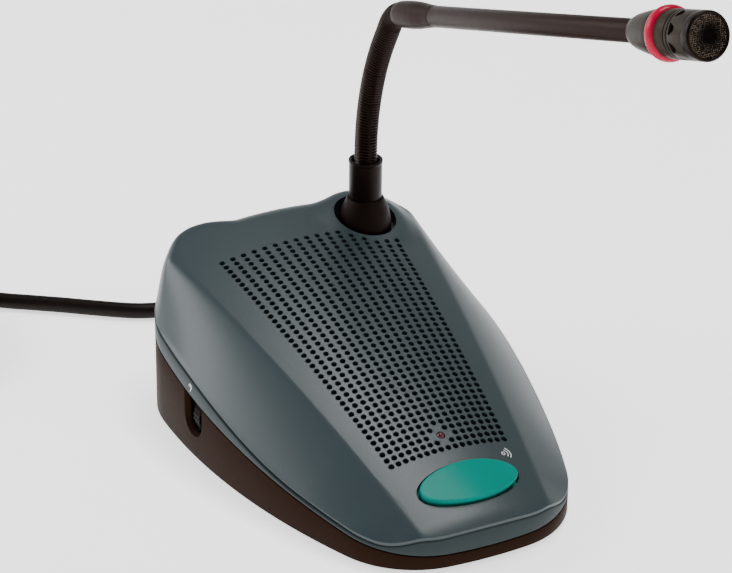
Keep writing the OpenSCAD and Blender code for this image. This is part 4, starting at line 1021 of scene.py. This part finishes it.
def neck_spot(s):
    """The neck's centre line, by length from the sleeve's rim."""
    lean = neck_turn(min(s, s2)) if s >= s1 else 0
    y = neck_y - lean_r * (1 - cos(lean))
    z = neck_rim + min(s, s1) + lean_r * sin(lean)
    run = min(max(0, s - s2), lean_run)
    y, z = y - run * sin(lean_a), z + run * cos(lean_a)
    if s > s3:
        turn = neck_turn(s)
        y, z = y + bend_r * (cos(turn) - cos(lean_a)), z + bend_r * (sin(turn) - sin(lean_a))
    beyond = max(0, s - s4)
    return Vector((neck_x, y - beyond * sin(boom_turn), z + beyond * cos(boom_turn)))


def neck_place(s):
    return Matrix.Translation(neck_spot(s) * MM) @ Matrix.Rotation(neck_turn(s), 4, "X")


hose_sides = 28
hose_rings_per_rib = 6


def hose_ring(s):
    place = neck_place(s)
    ring = []
    for k in range(hose_sides):
        a = 2 * pi * k / hose_sides
        wave = 0.5 - 0.5 * cos(2 * pi * (s / rib_pitch + k / hose_sides))
        r = hose_r - rib_depth * (1 - wave ** rib_shape)
        ring.append(place @ (Vector((r * cos(a), r * sin(a), 0)) * MM))
    return ring


anodised = Finish("black_anodised", (0.0036, 0.0014, 0.0009), 0.3,
                  Specular_IOR_Level=0.16, Specular_Tint=brown_sheen)
anodised.grain(0.26, 0.14, 900)
first_joint, link_len = 4, 14.6
neck_bodies = ["base", "link_1", "link_2", "link_3", "link_4", "microphone"]
joint_count = len(neck_bodies) - 1
hose_from, hose_to = -2.8, s4 + 8
blend_reach = 0.0055
for k in range(joint_count):
    joint_s = first_joint + k * link_len
    start_s = hose_from if k == 0 else joint_s - link_len / 2
    end_s = hose_to if k == joint_count - 1 else joint_s + link_len / 2
    count = round((end_s - start_s) / rib_pitch * hose_rings_per_rib)
    hose_rings = [hose_ring(start_s + (end_s - start_s) * i / count) for i in range(count + 1)]
    hose = ringed(f"gooseneck_{k + 1}", hose_rings)
    smooth(hose, 60)
    wear(hose, anodised)
    reach = neck_place(joint_s).to_3x3() @ Vector((0, 0, 1)) * blend_reach
    middle = neck_spot(joint_s) * MM
    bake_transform(hose)
    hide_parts(f"neck_link_{k + 1}")


# The boom: a lacquered ferrule that grips the end of the gooseneck, and a straight tube.
boom_foot = neck_place(s4)
boom_start, boom_end = 21, 164.2
ferrule_profile = eased([
    (4.6, 0.2), (4.85, 0), (5.1, 2.5), (5.2, 6), (5.2, 11), (5.05, 15), (4.7, 19), (4.3, 23),
    (4.08, 27), (4.02, 27.4), (4.02, boom_start), (1.2, boom_start), (1.2, 9.4), (4.6, 9.4),
], 0.3)
ferrule = turned("ferrule_turning", ferrule_profile, boom_foot, 56, closed=True)
smooth(ferrule, 40)
umber_lacquer = Finish("umber_lacquer", (0.0145, 0.0070, 0.0056), 0.36,
                       Specular_IOR_Level=0.06, Specular_Tint=brown_sheen)
umber_lacquer.grain(0.32, 0.12, 600, 2200, 0.00003)
wear(ferrule, umber_lacquer)
boom_in_collar = boom_end + 6
boom_profile = [(3, boom_start), (4, boom_start), (4, boom_in_collar), (3, boom_in_collar)]
boom = turned("boom", eased(boom_profile, 0.1), boom_foot, 48, closed=True)
smooth(boom, 40)
wear(boom, umber_lacquer)
for piece, node in ((ferrule, "ferrule"), (boom, "boom_tube")):
    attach(piece, "microphone")
    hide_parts(node)


# The microphone head: a flared collar, a red light ring with rounded edges, and a slotted
# housing lined with cloth, whose black rim holds a dished wire mesh in front of the capsule.
collar_end = boom_end + 17.4
ring_end = collar_end + 4.3
head_end = ring_end + 19.6
head_r = 8
collar_flare = raised(boom_end, [
    (4.08, 0), (4.4, 0), (5, 0.9), (5.5, 2.3), (6.1, 4.4), (7.1, 9.8), (7.8, 14.4),
])
collar_profile = eased(collar_flare + [
    (head_r, collar_end), (1.2, collar_end), (1.2, boom_in_collar), (4.08, boom_in_collar),
], 0.4)
collar = turned("collar", collar_profile, boom_foot, 64, closed=True)
smooth(collar, 40)
head_lacquer = Finish("grey_lacquer", (0.022, 0.0165, 0.0122), 0.36,
                      Specular_IOR_Level=0.07, Specular_Tint=brown_sheen)
head_lacquer.grain(0.31, 0.12, 700, 2400, 0.00003)
wear(collar, head_lacquer)
ring_r = 9.15
bore_r = 6.85
ring_profile = eased([
    (bore_r, collar_end), (ring_r - 0.7, collar_end), (ring_r, collar_end + 1.1),
    (ring_r, ring_end - 1.3), (ring_r - 0.9, ring_end), (bore_r, ring_end),
], 0.8)
light_ring = turned("light_ring_moulding", ring_profile, boom_foot, 72, closed=True)
smooth(light_ring, 60)
red = Finish("red_moulding", (0.40, 0.0, 0.03), 0.24, Specular_IOR_Level=0.15)
red.shades(red.noise(120), 0.1)
red.grain(0.18, 0.12, 500)
wear(light_ring, red)
rim_from = head_end - 3.9
groove_r = head_r - 0.4
groove = [(head_r, 0), (groove_r, 0.05), (groove_r, 0.5), (head_r, 0.55)]
housing_profile = [(6.8, ring_end), (head_r, ring_end)]
for groove_at in (ring_end + 5.4, ring_end + 7.2):
    housing_profile += raised(groove_at, groove)
housing_profile += raised(rim_from, [(head_r, -0.1), (7.9, 0), (6.9, 0), (6.8, -0.1)])
housing = turned("housing", eased(housing_profile, 0.12), boom_foot, 96, closed=True)
slot_count = 8
slot_shape = [(-2, 8.7), (2, 8.7), (1.7, 9.7), (0.6, 11.4), (-0.6, 11.4), (-1.7, 9.7)]
for k in range(slot_count):
    spin = boom_foot @ Matrix.Rotation(2 * pi * (k + 0.5) / slot_count, 4, "Z")
    rings = [[spin @ (Vector((r, across, ring_end + along)) * MM) for across, along in slot_shape]
             for r in (5.5, 10)]
    cut(housing, ringed("sound_slot", rings))
smooth(housing, 35)
wear(housing, head_lacquer)
head_pieces = [
    (collar, "head_collar", "grey_metal"),
    (light_ring, "light_ring", "red_ring"),
    (housing, "head_housing", "grey_metal"),
]
for piece, node, finish in head_pieces:
    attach(piece, "microphone")
    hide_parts(node)

cloth_from, cloth_to = ring_end + 8.2, ring_end + 10.38
cloth_in, cloth_out = 6.3, 6.78
cloth_profile = [
    (cloth_in, cloth_from), (cloth_out, cloth_from), (cloth_out, cloth_to), (cloth_in, cloth_to),
]
slot_cloth = turned("slot_cloth", cloth_profile, boom_foot, 48, closed=True)
smooth(slot_cloth, 40)
black_cloth = Finish("acoustic_cloth", (0.003, 0.0026, 0.0024), 0.9, Specular_IOR_Level=0.05)
black_cloth.shades(black_cloth.noise(2500), 0.3)
wear(slot_cloth, black_cloth)
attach(slot_cloth, "microphone")

rim_front = raised(head_end, [(8.02, -0.6), (7.7, -0.1), (7.35, 0), (6.95, -0.25), (bore_r, -0.9)])
head_rim_profile = eased([(bore_r, rim_from), (8.02, rim_from)] + rim_front, 0.15)
head_rim = turned("head_rim", head_rim_profile, boom_foot, 72, closed=True)
smooth(head_rim, 45)
wear(head_rim, lacquer)
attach(head_rim, "microphone")

mesh_profile = raised(head_end, [
    (0.3, -2.05), (6.84, -2.05), (6.84, -0.6), (6.4, -1), (5, -1.4), (3, -1.65), (1, -1.75),
    (0.3, -1.77),
])
wire_face = turned("wire_face", mesh_profile, boom_foot, 72)
smooth(wire_face, 40)
wire_map = wire_face.data.uv_layers.new(name="weave")
flat = boom_foot.inverted()
map_width = 2 * head_r * MM
for loop in wire_face.data.loops:
    spot = flat @ wire_face.data.vertices[loop.vertex_index].co
    wire_map.data[loop.index].uv = (spot.x / map_width + 0.5, spot.y / map_width + 0.5)
weave = Finish("black_weave", (0.008, 0.007, 0.006), 0.5, Specular_IOR_Level=0.03)
weave_uv = weave.node("UVMap", {"uv_map": "weave"})
wires = weave.node("TexVoronoi", {"feature": "DISTANCE_TO_EDGE", "voronoi_dimensions": "2D"},
                   Vector=weave_uv, Scale=24.0, Randomness=0.45)
strand = weave.node("ValToRGB", Fac=wires * 6.0)
# The wires are painted darker round a spot a little off the middle, as painted shade in the dished
# recess, and lighter brown in random specks away from it, as painted glints.
shade_middle_u, shade_middle_v = 0.58, 0.5
across = weave.node("SeparateXYZ", Vector=weave_uv) - shade_middle_u
along = weave.node("SeparateXYZ", output="Y", Vector=weave_uv) - shade_middle_v
unshaded_share = 9 * (across * across + along * along) - 0.15
glint_speckle = 5 * weave.noise(1700, 1) - 1.8
shaded_wire, glinting_wire = (0.004, 0.002, 0.0015, 1), (0.30, 0.23, 0.17, 1)
wire_gap = (0.001, 0.0008, 0.0006, 1)
# The wires' colour: painted shade towards the middle, painted glints in specks elsewhere.
wire_light_and_shade = weave.between(unshaded_share * glint_speckle, shaded_wire, glinting_wire)
weave.set("Base Color", weave.between(strand, wire_light_and_shade, wire_gap))
weave.bump(1 - strand, 0.0002)
wear(wire_face, weave)
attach(wire_face, "microphone")
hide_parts("head_mesh")


# What the shells hide or half hide keeps its own solid and gets the finish of its material:
# boards, screws, loudspeaker, switch, wheel, potentiometer, nut, capsule and plug.
def plated(name, colour, roughness, grain):
    finish = Finish(name, colour, roughness, metallic=1.0)
    finish.grain(roughness, 0.15, grain)
    return finish


def moulded(name, colour, roughness, grain):
    finish = Finish(name, colour, roughness)
    finish.shades(finish.noise(grain), 0.1)
    finish.bump(finish.noise(2000, 2), 0.00004)
    return finish


black_moulding = moulded("black_moulding", (0.0028, 0.0016, 0.0012), 0.45, 200)
black_moulding.set("Specular IOR Level", 0.04)
inner_finishes = {
    "steel": plated("zinc_plate", (0.6, 0.6, 0.62), 0.3, 300),
    "nickel": plated("nickel_plate", (0.62, 0.6, 0.57), 0.2, 500),
    "aluminium": plated("drawn_aluminium", (0.65, 0.65, 0.67), 0.35, 300),
    "board": moulded("green_board", (0.006, 0.045, 0.02), 0.4, 300),
    "cone": moulded("pressed_paper", (0.015, 0.015, 0.015), 0.8, 600),
    "magnet": moulded("ferrite", (0.03, 0.03, 0.033), 0.6, 400),
    "red_light": moulded("red_lens", (0.07, 0.0, 0.008), 0.12, 400),
    "black_plastic": black_moulding,
    "rubber": rubber,
    "cloth": moulded("speaker_cloth", (0.004, 0.004, 0.004), 0.9, 900),
    "cable": jacket,
    "umber_shell": umber,
    "black_metal": lacquer,
}
for part in frame["record"]["subparts"]:
    node = nodes[part["node"]]
    if not node.hide_render and part["material_slot"] in inner_finishes:
        wear(node, inner_finishes[part["material_slot"]])
